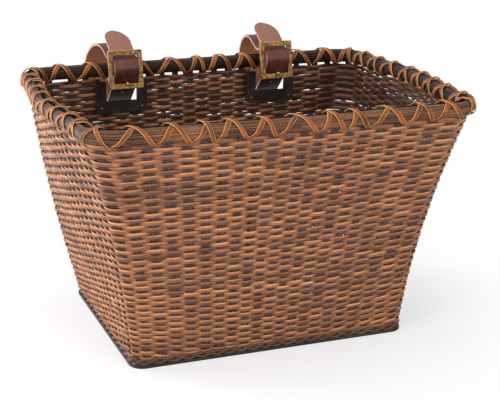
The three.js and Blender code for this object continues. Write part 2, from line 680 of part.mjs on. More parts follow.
// Base
const hoopHalf = BASE_HOOP_WIDTH / 2;
const hoopSection = [[-hoopHalf, 0], [hoopHalf - BASE_HOOP_ROUND, 0], [hoopHalf, BASE_HOOP_ROUND],
  [hoopHalf, BASE_HOOP_HEIGHT - BASE_HOOP_ROUND], [hoopHalf - BASE_HOOP_ROUND, BASE_HOOP_HEIGHT],
  [-hoopHalf, BASE_HOOP_HEIGHT]];
const baseHoop = hoopOf(hoopSection.map(([grow, height]) => [baseOutline(grow), height]));
addPart(basket, 'base_hoop', baseHoop, 'base');
addPart(basket, 'base_board', new THREE.ExtrudeGeometry(flatShape(baseOutline(-hoopHalf - FIT)),
  { depth: BOARD_THICK, bevelEnabled: false }), 'base');

// Wall: one closed shell with the weave's relief outside, and thinner where the rim's hoops hold it
const wallLevel = (share) => WALL_FOOT + (SHOULDER - WALL_FOOT) * share;

function wovenSkin() {
  const rings = [];
  for (let course = 0; course <= WEAVE_COURSES; course += 1) {
    const height = wallLevel(course / WEAVE_COURSES);
    const crest = wallOutline(height, WALL_THICK / 2, STAKE_STEPS);
    const dip = wallOutline(height, WALL_THICK / 2 - WEAVE_DEPTH, STAKE_STEPS);
    const plain = course % WEAVE_COURSES === 0;
    const line = crest.map((point, i) => (plain || (course + i) % 2 === 0 ? point : dip[i]));
    rings.push(atHeight(line, height));
  }
  return loft(rings, false, (course, i) => (course + i) % 2 === 0);
}

function wovenWall() {
  const thin = TAB_THICK / 2;
  const shares = [-0.5, 1.5];
  for (let k = 0; k <= WALL_STEPS; k += 1) shares.splice(-1, 0, k / WALL_STEPS);
  const inside = shares.map((share) => {
    const height = wallLevel(share);
    return atHeight(wallOutline(THREE.MathUtils.clamp(height, WALL_FOOT, SHOULDER), -WALL_THICK / 2), height);
  });
  const tab = [[thin, SHOULDER - TAB_ROOT], [thin, TAB_TOP], [-thin, TAB_TOP], [-thin, SHOULDER - TAB_ROOT]];
  const top = hoopOf(tab.map(([grow, height]) => [rimOutline(grow), height]));
  const body = shell(solid(wovenSkin()).subtract(solid(loft(inside, false))).add(solid(top)));
  const cutters = lashHoles();
  for (const side of [-1, 1]) {
    const centreX = side * STRAP_SPACING / 2;
    cutters.push(windowCutter(centreX), tackHole(centreX - TACK_SIDE), tackHole(centreX + TACK_SIDE));
  }
  return cutAll(body, cutters);
}

addPart(basket, 'woven_wall', wovenWall(), 'weave');
addPart(basket, 'rim_outer_hoop', rimHoop(1), 'hoop');
addPart(basket, 'rim_inner_hoop', rimHoop(-1), 'hoop');
for (const [handName, hand] of [['right', 1], ['left', -1]]) {
  for (const [place, firstTurn] of [['front', 0], ['back', LASH_TURNS]]) {
    const name = `lashing_${handName}_${place}`;
    addPart(basket, name, lashing(name, hand, firstTurn), 'lash');
  }
}

// Straps, buckles and window frames, alike on both sides
for (const [sideName, side] of [['left', -1], ['right', 1]]) {
  const centreX = side * STRAP_SPACING / 2;
  addPart(basket, `strap_frame_${sideName}`, strapFrame(centreX), 'frame');
  for (const [tackName, tackSide] of [['a', -1], ['b', 1]]) {
    const pin = addPart(basket, `frame_tack_${sideName}_${tackName}`, tack(), 'steel');
    pin.position.set(centreX + tackSide * TACK_SIDE, FRAME_BACK - FRAME_THICK, TACK_LEVEL);
    pin.rotation.x = -Math.PI / 2;
  }
  const strap = new THREE.Group();
  strap.position.x = centreX;
  basket.add(strap);
  addPart(strap, `leather_strap_${sideName}`, leatherStrap(), 'leather');
  const grip = onFold(0, -FOLD_LAYER / 2);
  const riveted = addPart(strap, `strap_rivet_${sideName}`, rivet(), 'brass');
  riveted.position.set(0, grip.x, grip.y);
  riveted.rotation.x = foldAngle;
  addPart(strap, `buckle_prong_${sideName}`, prong(), 'brass');
  const buckle = new THREE.Group();
  buckle.position.set(0, BUCKLE_BAR.x, BUCKLE_BAR.y);
  buckle.rotation.x = Math.PI / 2 - tilt;
  strap.add(buckle);
  addPart(buckle, `buckle_frame_${sideName}`, buckleFrame(), 'brass');
  addPart(buckle, `buckle_bar_${sideName}`, rodX(BAR_RADIUS, BAR_LENGTH), 'steel');
}

export default basket;
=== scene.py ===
"""Looks of a woven cane bicycle basket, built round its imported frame.

Metres, +Z up, X along the handlebar and +Y towards the bicycle, as in the frame.
"""

import math

import bpy
import numpy as np
from mathutils import Matrix, Vector

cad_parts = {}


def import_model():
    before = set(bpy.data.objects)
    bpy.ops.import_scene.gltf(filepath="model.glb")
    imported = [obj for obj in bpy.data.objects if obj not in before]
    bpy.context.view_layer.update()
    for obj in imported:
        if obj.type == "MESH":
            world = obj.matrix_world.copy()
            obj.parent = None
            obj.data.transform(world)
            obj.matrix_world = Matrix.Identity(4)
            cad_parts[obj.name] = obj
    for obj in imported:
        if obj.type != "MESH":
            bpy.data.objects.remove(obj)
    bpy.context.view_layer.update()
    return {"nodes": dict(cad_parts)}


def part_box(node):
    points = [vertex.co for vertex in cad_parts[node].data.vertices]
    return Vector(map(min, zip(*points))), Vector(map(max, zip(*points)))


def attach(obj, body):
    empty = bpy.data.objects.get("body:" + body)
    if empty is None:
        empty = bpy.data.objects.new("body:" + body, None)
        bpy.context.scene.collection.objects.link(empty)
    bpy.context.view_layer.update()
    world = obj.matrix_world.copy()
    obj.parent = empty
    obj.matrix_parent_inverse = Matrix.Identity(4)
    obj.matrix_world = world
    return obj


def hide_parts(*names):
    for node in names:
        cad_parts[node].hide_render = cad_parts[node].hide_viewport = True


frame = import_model()
RANDOM = np.random.default_rng(41)

# Sizes of the hoops and of the wall, which the frame's boxes are measured against
BASE_HOOP_WIDTH = 0.0064
BASE_BAND_WIDTH = 0.0060
BASE_BAND_OUT = 0.0023
BASE_BAND_HEIGHT = 0.0030
BASE_BAND_ROUND = 0.0011
BASE_CORNER = 0.010
RIM_CORNER = 0.025
RIM_FRONT_BOW = 0.0035
RIM_END_BOW = 0.008
RIM_HALF = 0.0073
RIM_HEIGHT = 0.012
RIM_GROOVE = 0.0036
RIM_POWER = 2.4
CORE_GAP = 0.0002
CORE_LIFT = 0.001
CORE_TOP = 0.0035
CORE_ROUND = 0.0006
HOOP_STEPS = 480
FRONT_FLARE = 0.55
BACK_SWELL = 0.4
SHOULDER_DROP = 0.0039

# Places that follow from the frame
_, base_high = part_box("base_hoop")
rim_low, rim_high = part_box("rim_outer_hoop")
BASE_LENGTH = 2 * base_high.x - BASE_HOOP_WIDTH
BASE_DEPTH = 2 * base_high.y - BASE_HOOP_WIDTH
WALL_FOOT = base_high.z
RIM_LENGTH = 2 * (rim_high.x - RIM_HALF - RIM_END_BOW)
RIM_DEPTH = rim_high.y - rim_low.y - 2 * RIM_HALF - RIM_FRONT_BOW
RIM_MIDDLE = (rim_low.z + rim_high.z) / 2
RIM_BOTTOM = RIM_MIDDLE - RIM_HEIGHT / 2
RIM_TOP = RIM_MIDDLE + RIM_HEIGHT / 2
SHOULDER = RIM_BOTTOM - SHOULDER_DROP
BACK_Y = rim_high.y - RIM_HALF
RIM_CENTRE_Y = BACK_Y - RIM_DEPTH / 2

# Weave: stakes, weavers, their rows and the twined rows at the base
STAKES = 74
STAKE_CROWDING = 0.12
STAKE_WIDTH = 0.0060
STAKE_ROOM = 0.62
STAKE_THICK = 0.0010
STAKE_FOOT = 0.004
STAKE_HEAD = 0.001
LEAN_LENGTH = 0.03
STAKE_STEPS = 40
WEAVER_THICK = 0.0012
WEAVE_REACH = 0.00095
WEAVER_SPREAD = 1.19
WEAVER_STEPS = 8
SWING_STEEP = 1.5
LIFT_LIMIT = 0.0003
WIDTH_LIMITS = (0.95, 1.15)
WAVE_HEIGHT = 0.0002
BACK_LOOSE = 0.14
END_LOOSE = 0.27
ROW_LOW = 0.0100
ROW_HIGH = 0.198
ROW_LOWEST = ROW_LOW - 0.0015
ROWS = 64
CORNER_ROWS = 4
PITCH_SHARES = (0.9, 1.04, 0.97)
TWINE_LEVELS = (0.0040, 0.0071)
TWINE_RADIUS = 0.00105
TWINE_RISE = 0.0009
TWINE_REACH = WEAVE_REACH + 0.0003
FRAME_BORDER = 0.0055
FRAME_BEVEL = 0.0005
ROW_RISE = 0.012
ROW_TILT = 0.004
TOP_RISE = 0.0014

# Lashing
LASH_TURNS = 21
LASH_STEPS = 26
LASH_WIDTH = 0.0038
LASH_THICK = 0.0009
LASH_GAP = 0.0003
LASH_CROSS_GAP = 0.00015
LASH_RISE = 1.45
LASH_START = 0.75
LASH_END = 0.03
LASH_SECTION = np.array([[-0.5, 0.3], [-0.42, 0.75], [-0.2, 1.0], [0.2, 1.0],
                         [0.42, 0.75], [0.5, 0.3], [0.4, 0.0], [-0.4, 0.0]])

# Straps, buckles, prongs, rivets and tacks
STRAP_SIDE = 0.074
STRAP_WIDTH = 0.0226
STRAP_THICK = 0.0026
STRAP_EDGE = 0.45
BUCKLE_TILT = math.radians(10)
FOLD_TILT = math.radians(10)
RAIL = 0.0048
SIDE_BAR = 0.0044
BUCKLE_HEIGHT = 0.0352
BUCKLE_WIDTH = 0.032
BUCKLE_THICK = 0.004
BUCKLE_CORNER = 0.0003
BUCKLE_CORNER_MORE = 0.0007
BAR_RADIUS = 0.0011
HOLE_RADIUS = 0.0021
HOLE_CUT = 0.0016
HOLE_PITCH = 0.020
# Stretches of the grain side with a painted highlight (the tip) and painted shade (under the buckle)
STRAP_LIT_TIP = 0.248
STRAP_SHADED = (0.178, 0.190, 0.216, 0.220)
TIP_ASIDE = 0.0035
TIP_LENGTH = 0.034
TIP_ROUNDS = (0.0165, 0.0075)
TIP_LEAST = 0.002
EYE_SLOT = 0.0048
EYE_SLOT_GAP = 0.00013
LOOP_SWAY = {"left": -0.0100, "right": 0.0}
PRONG_RADIUS = 0.0011
PRONG_BALL = 0.0017
EYE_WALL = 0.0013
EYE_HALF = 0.0018
RIVET_HEAD = (0.0023, 0.0009)
RIVET_SHANK = 0.0014
TACK_HEAD = (0.0010, 0.0006)
TACK_SHANK = 0.0008
TACK_SINK = 0.0010
FIT = 0.0003


class Shade:
    """A socket in a material's node tree. Arithmetic on it adds Math nodes to the tree."""

    def __init__(self, tree, socket):
        self.tree = tree
        self.socket = socket

    @classmethod
    def add(cls, tree, kind, sockets=None, output=0, **settings):
        """Adds a node: its settings first, then its sockets' values or links. Gives one of its outputs."""
        node = tree.nodes.new("ShaderNode" + kind)
        for key, value in settings.items():
            setattr(node, key, value)
        for key, value in (sockets or {}).items():
            if isinstance(value, Shade):
                tree.links.new(value.socket, node.inputs[key])
            elif isinstance(value, tuple) and node.inputs[key].type == "RGBA":
                node.inputs[key].default_value = (*value, 1)
            else:
                node.inputs[key].default_value = value
        return cls(tree, node.outputs[output])

    def math(self, operation, *others):
        """A Math node's result for this value and the others."""
        sockets = dict(enumerate((self, *others)))
        return Shade.add(self.tree, "Math", sockets, operation=operation)

    def __add__(self, other):
        return self.math("ADD", other)

    __radd__ = __add__

    def __mul__(self, other):
        return self.math("MULTIPLY", other)

    def __sub__(self, other):
        return self.math("SUBTRACT", other)

    def __rsub__(self, other):
        return self * -1 + other

    def ease(self, low, high):
        """0 below low, 1 above high, and smooth between them."""
        sockets = {"Value": self, "From Min": low, "From Max": high}
        return Shade.add(self.tree, "MapRange", sockets, interpolation_type="SMOOTHSTEP")

    def mix(self, first, second):
        """Mixes two colours by this value."""
        sockets = {0: self, 6: first, 7: second}
        return Shade.add(self.tree, "Mix", sockets, output=2, data_type="RGBA")


class Finish:
    """A material under a Principled shader, with its coordinates ready as values."""

    def __init__(self, name, sheen=0.5, metal=0.0):
        self.material = bpy.data.materials.new(name)
        self.material.use_nodes = True
        self.tree = self.material.node_tree
        self.shader = self.tree.nodes["Principled BSDF"]
        self.shader.inputs["Specular IOR Level"].default_value = sheen
        self.shader.inputs["Metallic"].default_value = metal
        self.place = self.split(Shade.add(self.tree, "TexCoord", output="Object"))
        self.surface = self.split(Shade.add(self.tree, "UVMap", uv_map="UVMap"))[:2]

    def split(self, vector):
        """The three coordinates of a vector."""
        return [Shade.add(self.tree, "SeparateXYZ", {0: vector}, output=k) for k in range(3)]

    def attribute(self, name):
        """A value that the mesh gives for each point."""
        return Shade.add(self.tree, "Attribute", output="Fac", attribute_name=name)

    def noise(self, x, y, z, detail=2.0, rough=0.5):
        """Noise at a point whose coordinates are already scaled."""
        point = Shade.add(self.tree, "CombineXYZ", {"X": x, "Y": y, "Z": z})
        sockets = {"Vector": point, "Scale": 1.0, "Detail": detail, "Roughness": rough}
        return Shade.add(self.tree, "TexNoise", sockets)

    def speckle(self, scale, detail=2.0, rough=0.5):
        """Noise of the place, at one scale in all directions."""
        return self.noise(*(axis * scale for axis in self.place), detail, rough)

    def paint(self, colour, rough, height=None, depth=0.0):
        """Links colour, roughness and a bump of that height, depth metres deep."""
        self.tree.links.new(colour.socket, self.shader.inputs["Base Color"])
        self.tree.links.new(rough.socket, self.shader.inputs["Roughness"])
        if height is not None:
            bump = Shade.add(self.tree, "Bump", {"Height": height, "Distance": depth})
            self.tree.links.new(bump.socket, self.shader.inputs["Normal"])
        return self.material


def weaver_cane():
    """Flat stained cane in many tones: purple-brown below and orange at the upper edge, partly worn stain
    and partly a painted highlight. It has a painted shadow along its lower edge, painted highlights at its
    bends and painted shade where it passes behind a stake. Inside it is darker, with painted shade on its
    lower side, behind the stakes and most of all at the right end."""
    cane = Finish("weaver_cane", 0.25)
    along, around = cane.surface
    x, y, z = cane.place
    tone, swing = cane.attribute("tone"), cane.attribute("swing")
    fibre = cane.noise(along * 90, around * 16, tone * 40, 5.0, 0.72)
    stain = cane.noise(x * 45, y * 45, z * 60)
    shade = (tone * 0.55 + fibre + stain * 0.4 - 0.475).ease(0.12, 0.88)
    turn = around * (2 * math.pi)
    height, front = turn.math("SINE"), turn.math("COSINE")
    # painted shade colour, for where a strip passes behind a stake and for the inner face's lower side
    recess_shade = (0.030, 0.014, 0.009)
    below = shade.mix((0.085, 0.037, 0.025), (0.31, 0.138, 0.078))
    above = shade.mix((0.26, 0.086, 0.027), (0.76, 0.305, 0.098))
    # the orange upper edge is partly worn stain and partly a painted highlight of light from above
    lit_and_worn_top = (height + fibre * 1.1 + tone * 0.2).ease(0.74, 1.3)
    # painted highlight at each float's bends, where its ends catch the light
    bend = swing.ease(-0.95, -0.6) * (1 - swing.ease(0.2, 0.9))
    pale = (tone * 0.6 + fibre * 0.9 - 0.25).ease(0.1, 0.9)
    pale = pale.mix((0.12, 0.052, 0.032), (0.50, 0.215, 0.09))
    shown = (bend * 0.7).mix(lit_and_worn_top.mix(below, above), pale)
    # painted shadow along each strip's lower edge
    shown = (height + fibre * 0.3).ease(-0.8, -0.35).mix((0.040, 0.017, 0.011), shown)
    # painted shade where the strip passes behind a stake
    shown = (swing + fibre * 0.4).ease(-1.0, -0.35).mix(recess_shade, shown)
    inner = shade.mix((0.042, 0.018, 0.012), (0.42, 0.180, 0.090))
    # painted shade on the inside of the right end
    inner = x.ease(0.11, 0.15).mix(inner, shade.mix((0.020, 0.009, 0.006), (0.22, 0.090, 0.045)))
    # painted shade on the inner face's lower side and where it passes behind the stakes
    inner = (height + fibre * 0.6).ease(-0.7, 0.5).mix(recess_shade, inner)
    inner = (fibre * 0.4 - swing).ease(-0.9, 0.4).mix(recess_shade, inner)
    outer = (front + fibre * 0.4).ease(-0.6, 0.5)
    return cane.paint(outer.mix(inner, shown), fibre * 0.25 + 0.28, fibre, 0.0002)


def stake_cane():
    """Dark grey-brown stakes with grain and grooves along them; painted shade makes them nearly black
    outside on the end walls.
    """
    cane = Finish("stake_cane", 0.25)
    along, around = cane.surface
    x, y, _ = cane.place
    grain = cane.noise(along * 30, around * 34, x * 90 + y * 90, 3.0, 0.65)
    turn = around * (2 * math.pi)
    outer = turn.math("COSINE").ease(-0.3, 0.3)
    groove = (turn.math("SINE").math("ABSOLUTE") - 0.3).math("ABSOLUTE").ease(0.02, 0.16)
    tone = (grain * 1.4 - 0.2).ease(0.2, 0.8) * (groove * 0.75 + 0.25)
    front = tone.mix((0.010, 0.006, 0.005), (0.135, 0.088, 0.080))
    # painted shade: outside on the end walls the stakes turn nearly black
    shown = cane.attribute("end").mix(front, (0.012, 0.007, 0.006))
    inside = tone.mix((0.014, 0.008, 0.006), (0.085, 0.040, 0.025))
    return cane.paint(outer.mix(inside, shown), grain * 0.3 + 0.36, grain * 0.5 + groove * 0.5, 0.0004)


def twine_cane():
    """Dark round cane of the twined rows at the base."""
    cane = Finish("twine_cane", 0.25)
    along, around = cane.surface
    x, y, _ = cane.place
    grain = cane.noise(along * 60, around * 14, x * 30 + y * 30, 3.0)
    colour = grain.ease(0.3, 0.75).mix((0.045, 0.026, 0.02), (0.21, 0.10, 0.055))
    return cane.paint(colour, grain * 0.3 + 0.35, grain, 0.0002)


def rim_cane(name, dark, light, sheen):
    """Stained half-round cane: long streaks of grain between two tones, a little darker towards the left
    end, with a satin sheen."""
    cane = Finish(name, sheen)
    along, around = cane.surface
    x, y, _ = cane.place
    streak = cane.noise(along * 9, around * 22, 0.0, 5.0, 0.7)
    patch = cane.noise(x * 16, y * 16, 3.0)
    fibre = cane.noise(along * 60, around * 120, 5.0)
    left = (x * -1).ease(0.11, 0.165)
    colour = (streak * 2.4 + patch * 0.6 - 1.08 - left * 0.07).ease(0.2, 0.9).mix(dark, light)
    return cane.paint(colour, streak * 0.3 + 0.24, streak * 0.7 + fibre * 0.3, 0.0009)


def lash_cane():
    """Split cane strip: dark orange-brown with fibres along it, and a painted highlight along its edges."""
    cane = Finish("lash_cane", 0.2)
    along, around = cane.surface
    fibre = cane.noise(along * 30, around * 55, 2.0, 4.0, 0.7)
    face = (fibre * 0.8 + cane.speckle(70) * 0.8 - 0.1).ease(0.4, 0.9)
    face = face.mix((0.045, 0.011, 0.003), (0.32, 0.094, 0.020))
    # painted highlight along the strip's edges
    edge = cane.attribute("edge").ease(0.6, 0.92)
    colour = (edge * (fibre * 0.9 + 0.2)).mix(face, (0.74, 0.39, 0.16))
    return cane.paint(colour, fibre * 0.2 + 0.32, fibre, 0.0002)


def base_stain():
    """Dark stained wood of the base hoop and board."""
    wood = Finish("base_stain", 0.25)
    x, y, z = wood.place
    grain = wood.noise(x * 12, y * 130, z * 130, 4.0, 0.6)
    patch = wood.noise(x * 30, y * 30, z * 90)
    tone = (grain * 0.8 + patch * 0.4 - 0.1).ease(0.25, 0.85)
    colour = tone.mix((0.012, 0.009, 0.008), (0.055, 0.034, 0.025))
    return wood.paint(colour, grain * 0.3 + 0.4, grain, 0.0003)


def black_board():
    """Matt black plate with a faint pebbled skin."""
    plate = Finish("black_board", 0.18)
    patch = plate.speckle(60, 3.0)
    colour = patch.ease(0.3, 0.75).mix((0.013, 0.008, 0.006), (0.034, 0.023, 0.016))
    return plate.paint(colour, patch * 0.3 + 0.4, plate.speckle(900), 0.0002)


def strap_leather():
    """Red-brown leather: a smooth grain side with painted shade on the stretch under the buckle and a
    painted highlight on the tip, a tan flesh side and pale cut edges."""
    hide = Finish("strap_leather", 0.3)
    along, face = hide.surface[0], hide.attribute("face")
    pores, cloud, nap = hide.speckle(1400), hide.speckle(60, 3.0), hide.speckle(500, 4.0, 0.7)
    grain = (cloud * 0.8 + pores * 0.3).ease(0.3, 0.85).mix((0.066, 0.018, 0.013), (0.155, 0.053, 0.037))
    flesh = (nap * 0.8 + cloud * 0.4).ease(0.35, 0.9).mix((0.20, 0.085, 0.045), (0.42, 0.21, 0.12))
    cut = nap.ease(0.3, 0.8).mix((0.40, 0.21, 0.16), (0.62, 0.40, 0.33))
    # painted highlight on the tip, which tilts up towards the light
    tip = along.ease(STRAP_LIT_TIP, STRAP_LIT_TIP + 0.012)
    grain = (tip * 0.75).mix(grain, (0.325, 0.142, 0.098))
    # painted shade on the stretch under the buckle
    buckle_shade = along.ease(*STRAP_SHADED[:2]) * (1 - along.ease(*STRAP_SHADED[2:]))
    grain = (buckle_shade * 0.85).mix(grain, (0.016, 0.005, 0.004))
    outer = face.ease(0.05, 0.75)
    inner = (face * -1).ease(0.05, 0.75)
    colour = inner.mix(outer.mix(cut, grain), flesh)
    return hide.paint(colour, 0.42 + inner * 0.4 + nap * 0.12, pores * 0.6 + nap * inner * 0.8, 0.00015)


def antique_brass():
    """Brushed antique brass: dull green-brown faces, bright where the edges are rubbed."""
    metal = Finish("antique_brass", metal=1.0)
    x, y, z = metal.place
    brush = metal.noise(x * 90, y * 1500, z * 1500)
    cloud = metal.speckle(260, 4.0, 0.7)
    face = (brush * 0.6 + cloud * 1.2 - 0.4).ease(0.3, 0.8).mix((0.095, 0.050, 0.021), (0.40, 0.225, 0.088))
    edge = (metal.attribute("edge") + cloud * 0.5).ease(0.7, 1.3)
    colour = edge.mix(face, (0.56, 0.34, 0.13))
    return metal.paint(colour, 0.5 - edge * 0.12 + brush * 0.12, brush, 0.0001)


def plain_steel():
    """Plain steel of the tacks and bars, a little tarnished."""
    metal = Finish("plain_steel", metal=1.0)
    cloud = metal.speckle(700, 3.0)
    colour = cloud.ease(0.3, 0.7).mix((0.10, 0.085, 0.07), (0.30, 0.27, 0.23))
    return metal.paint(colour, cloud * 0.25 + 0.22)


WEAVER, STAKE, TWINE = weaver_cane(), stake_cane(), twine_cane()
RIM_OUTER = rim_cane("rim_cane", (0.012, 0.005, 0.003), (0.42, 0.170, 0.066), 0.25)
# the inner hoop: a near-black copy of the rim cane, painted shade for the inside of the basket
RIM_SHADED_INNER = rim_cane("rim_painted_shade_cane", (0.007, 0.004, 0.0025), (0.060, 0.032, 0.018), 0.1)
LASH, BASE = lash_cane(), base_stain()
BLACK, LEATHER = black_board(), strap_leather()
BRASS, STEEL = antique_brass(), plain_steel()


def tube(points, closed=False):
    """Mesh parts of strips given as strips x rings x points, which have caps at their ends or close on
    themselves: vertices, faces, and each face corner's distance along and share round the strip."""
    strips, rings, sides, _ = points.shape
    spans = rings if closed else rings - 1
    i, j = (grid.reshape(-1) for grid in np.meshgrid(np.arange(spans), np.arange(sides), indexing="ij"))
    corners = [(i, j), (i + 1, j), (i + 1, j + 1), (i, j + 1)]
    first = (np.arange(strips) * rings * sides)[:, None, None]
    quads = np.stack([(a % rings) * sides + b % sides for a, b in corners], -1)[None] + first
    middle = points.mean(2)
    step = np.linalg.norm(np.roll(middle, -1, 1) - middle, axis=-1)
    along = np.concatenate([np.zeros((strips, 1)), np.cumsum(step, 1)], 1)
    uv = [np.stack([along[:, a], np.broadcast_to(b / sides, (strips, len(b)))], -1) for a, b in corners]
    faces, texture = [quads.reshape(-1, 4)], [np.stack(uv, 2).reshape(-1, 2)]
    if not closed:
        around = np.arange(sides)
        for ring, order in ((0, around), (rings - 1, around[::-1])):
            faces.append((ring * sides + order)[None] + first[:, 0])
            u = np.broadcast_to(along[:, ring, None], (strips, sides))
            texture.append(np.stack([u, np.broadcast_to(order / sides, u.shape)], -1).reshape(-1, 2))
    vertices = points.reshape(-1, 3)
    a, b, c, d = np.moveaxis(vertices[faces[0]] - vertices.mean(0), 1, 0)
    volume = (a * (np.cross(b, c) + np.cross(c, d))).sum()
    if volume < 0:
        texture = [t.reshape(*f.shape, 2)[:, ::-1].reshape(-1, 2) for f, t in zip(faces, texture)]
        faces = [f[:, ::-1] for f in faces]
    return vertices, faces, texture


def join(*parts):
    """Several mesh parts as one."""
    vertices, faces, texture = zip(*parts)
    firsts = np.cumsum([0] + [len(some) for some in vertices])
    faces = [face + first for some, first in zip(faces, firsts) for face in some]
    return np.concatenate(vertices), faces, sum(texture, [])


def piece(name, parts, body, slot, material, nodes, sharp=50, **attributes):
    """A mesh object from mesh parts, with point attributes, on its body."""
    mesh = plain_mesh(name, parts)
    layer = mesh.uv_layers.new(name="UVMap")
    layer.data.foreach_set("uv", np.concatenate(parts[2]).astype(np.float32).reshape(-1))
    for key, values in attributes.items():
        point_values(mesh, key, values)
    mesh.shade_smooth()
    mesh.set_sharp_from_angle(angle=math.radians(sharp))
    dress(mesh, material)
    return settle(linked(name, mesh), body, nodes)


def plain_mesh(name, parts):
    """A mesh of the vertices and faces of mesh parts."""
    mesh = bpy.data.meshes.new(name)
    mesh.from_pydata(parts[0].tolist(), [], [face for some in parts[1] for face in some.tolist()])
    return mesh


def point_values(mesh, name, values):
    """Adds an attribute with a value for each point."""
    data = mesh.attributes.new(name, "FLOAT", "POINT").data
    data.foreach_set("value", np.asarray(values, np.float32).reshape(-1))


def linked(name, data):
    """A new object in the scene."""
    thing = bpy.data.objects.new(name, data)
    bpy.context.scene.collection.objects.link(thing)
    return thing


def dress(mesh, material):
    """Gives a mesh one material."""
    mesh.materials.clear()
    mesh.materials.append(material)


def settle(thing, body, nodes):
    """Puts a piece on what it rides on and hides the nodes it stands for."""
    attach(thing, body)
    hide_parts(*nodes)
    return thing


def unit(vectors):
    """Vectors scaled to length 1."""
    return vectors / np.linalg.norm(vectors, axis=-1, keepdims=True)


def eased(share):
    """A share from 0 to 1 with smooth ends."""
    return share * share * (3 - 2 * share)


def distances(points):
    """Distance of each point along a line of points."""
    return np.concatenate([[0], np.cumsum(np.linalg.norm(np.diff(points, axis=0), axis=1))])


def turns(count):
    """Angles of points evenly round a circle."""
    return np.linspace(0, 2 * np.pi, count, endpoint=False)


# Outlines. A circle goes round an inner rectangle, and its outer point turns only at the corners.
CENTRE_X = np.array([0, 1, 1, 1, 1, -1, -1, -1, -1, 0])
CENTRE_Y = np.array([-1, -1, -1, 1, 1, 1, 1, -1, -1, -1])
TURN = np.radians([-90, -90, 0, 0, 90, 90, 180, 180, 270, 270])
BOW_PHASE = np.pi * np.array([0.5, 1, 1, 2, 2, 2, 2, 3, 3, 3.5])


def stretch_ends(length, depth, corner):
    """Where the stretches of an outline end, from its front middle, as lengths."""
    half, side, arc = length / 2 - corner, depth - 2 * corner, corner * math.pi / 2
    return np.cumsum([0, half, arc, side, arc, 2 * half, arc, side, arc, half])


base_ends = stretch_ends(BASE_LENGTH, BASE_DEPTH, BASE_CORNER)
STRETCHES = base_ends + stretch_ends(RIM_LENGTH, RIM_DEPTH, RIM_CORNER)
STRETCHES /= STRETCHES[-1]
BACK_START, BACK_END = STRETCHES[4:6]


def outline(u, length, depth, corner, centre_y=0.0, bows=(0.0, 0.0), grow=0.0):
    """Points of a rounded rectangle at shares u of the way round, anticlockwise from the front middle.
    grow moves it outwards, and the front and the ends bow out by a squared sine."""
    u = np.mod(u, 1)
    turn = np.interp(u, STRETCHES, TURN)
    in_front = (u < STRETCHES[1]) | (u > STRETCHES[8])
    reach = corner + grow + np.where(in_front, *bows) * np.sin(np.interp(u, STRETCHES, BOW_PHASE)) ** 2
    x = np.interp(u, STRETCHES, CENTRE_X) * (length / 2 - corner) + reach * np.cos(turn)
    y = np.interp(u, STRETCHES, CENTRE_Y) * (depth / 2 - corner) + reach * np.sin(turn) + centre_y
    return x, y


def rim_line(u, grow=0.0):
    """The rim's middle line, grown outwards."""
    bows = RIM_FRONT_BOW, RIM_END_BOW
    return outline(u, RIM_LENGTH, RIM_DEPTH, RIM_CORNER, RIM_CENTRE_Y, bows, grow)


def base_line(u, grow=0.0):
    """The base hoop's middle line, grown outwards."""
    return outline(u, BASE_LENGTH, BASE_DEPTH, BASE_CORNER, grow=grow)


def wall(u, z):
    """Point of the wall at share u and height z: the base's outline blends into the rim's by a parabola,
    which flares near the top in front and swells at the back."""
    share = np.clip((z - WALL_FOOT) / (SHOULDER - WALL_FOOT), -0.1, 1)
    (bx, by), (rx, ry) = base_line(u), rim_line(u)
    curve = (BACK_SWELL + FRONT_FLARE) * (by / BASE_DEPTH + 0.5) - FRONT_FLARE
    blend = share + curve * share * (1 - share)
    return np.stack([bx + (rx - bx) * blend, by + (ry - by) * blend, np.broadcast_to(z, blend.shape)], -1)


def wall_frame(u, z):
    """Directions along the wall, up it and out of it."""
    small = 1e-4
    along = unit(wall(u + small, z) - wall(u - small, z))
    up = unit(wall(u, z + small * 10) - wall(u, z - small * 10))
    return along, up, unit(np.cross(along, up))


def oval(angle, power):
    """Unit superellipse: across and up."""
    c, s = np.cos(angle), np.sin(angle)
    return np.sign(c) * np.abs(c) ** (2 / power), np.sign(s) * np.abs(s) ** (2 / power)


def carried(path, across, up, section_across, section_up):
    """A section, alike or one for each ring, carried along a path in its directions across and up."""
    return (path[..., None, :] + section_across[..., None] * across[..., None, :]
            + section_up[..., None] * up[..., None, :])


# Weave. Rows are closer near the base, and the lowest ones only show at the front corners. A row passes
# outside and inside the stakes in turn.
row_places = np.arange(1 - CORNER_ROWS, ROWS - CORNER_ROWS)
row_gaps = np.interp(row_places, np.linspace(0, ROWS - CORNER_ROWS, 3), PITCH_SHARES)
ROW_LEVELS = np.concatenate([[0], np.cumsum(row_gaps)])
ROW_LEVELS -= ROW_LEVELS[CORNER_ROWS]
ROW_LEVELS = ROW_LOW + ROW_LEVELS * (ROW_HIGH - ROW_LOW) / ROW_LEVELS[-1]
ROW_PITCHES = np.gradient(ROW_LEVELS)
frame_low, frame_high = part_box("strap_frame_left")
WINDOW_SILL = frame_low.z + FRAME_BORDER
WINDOW_HALF = (frame_high.x - frame_low.x) / 2 - FRAME_BORDER

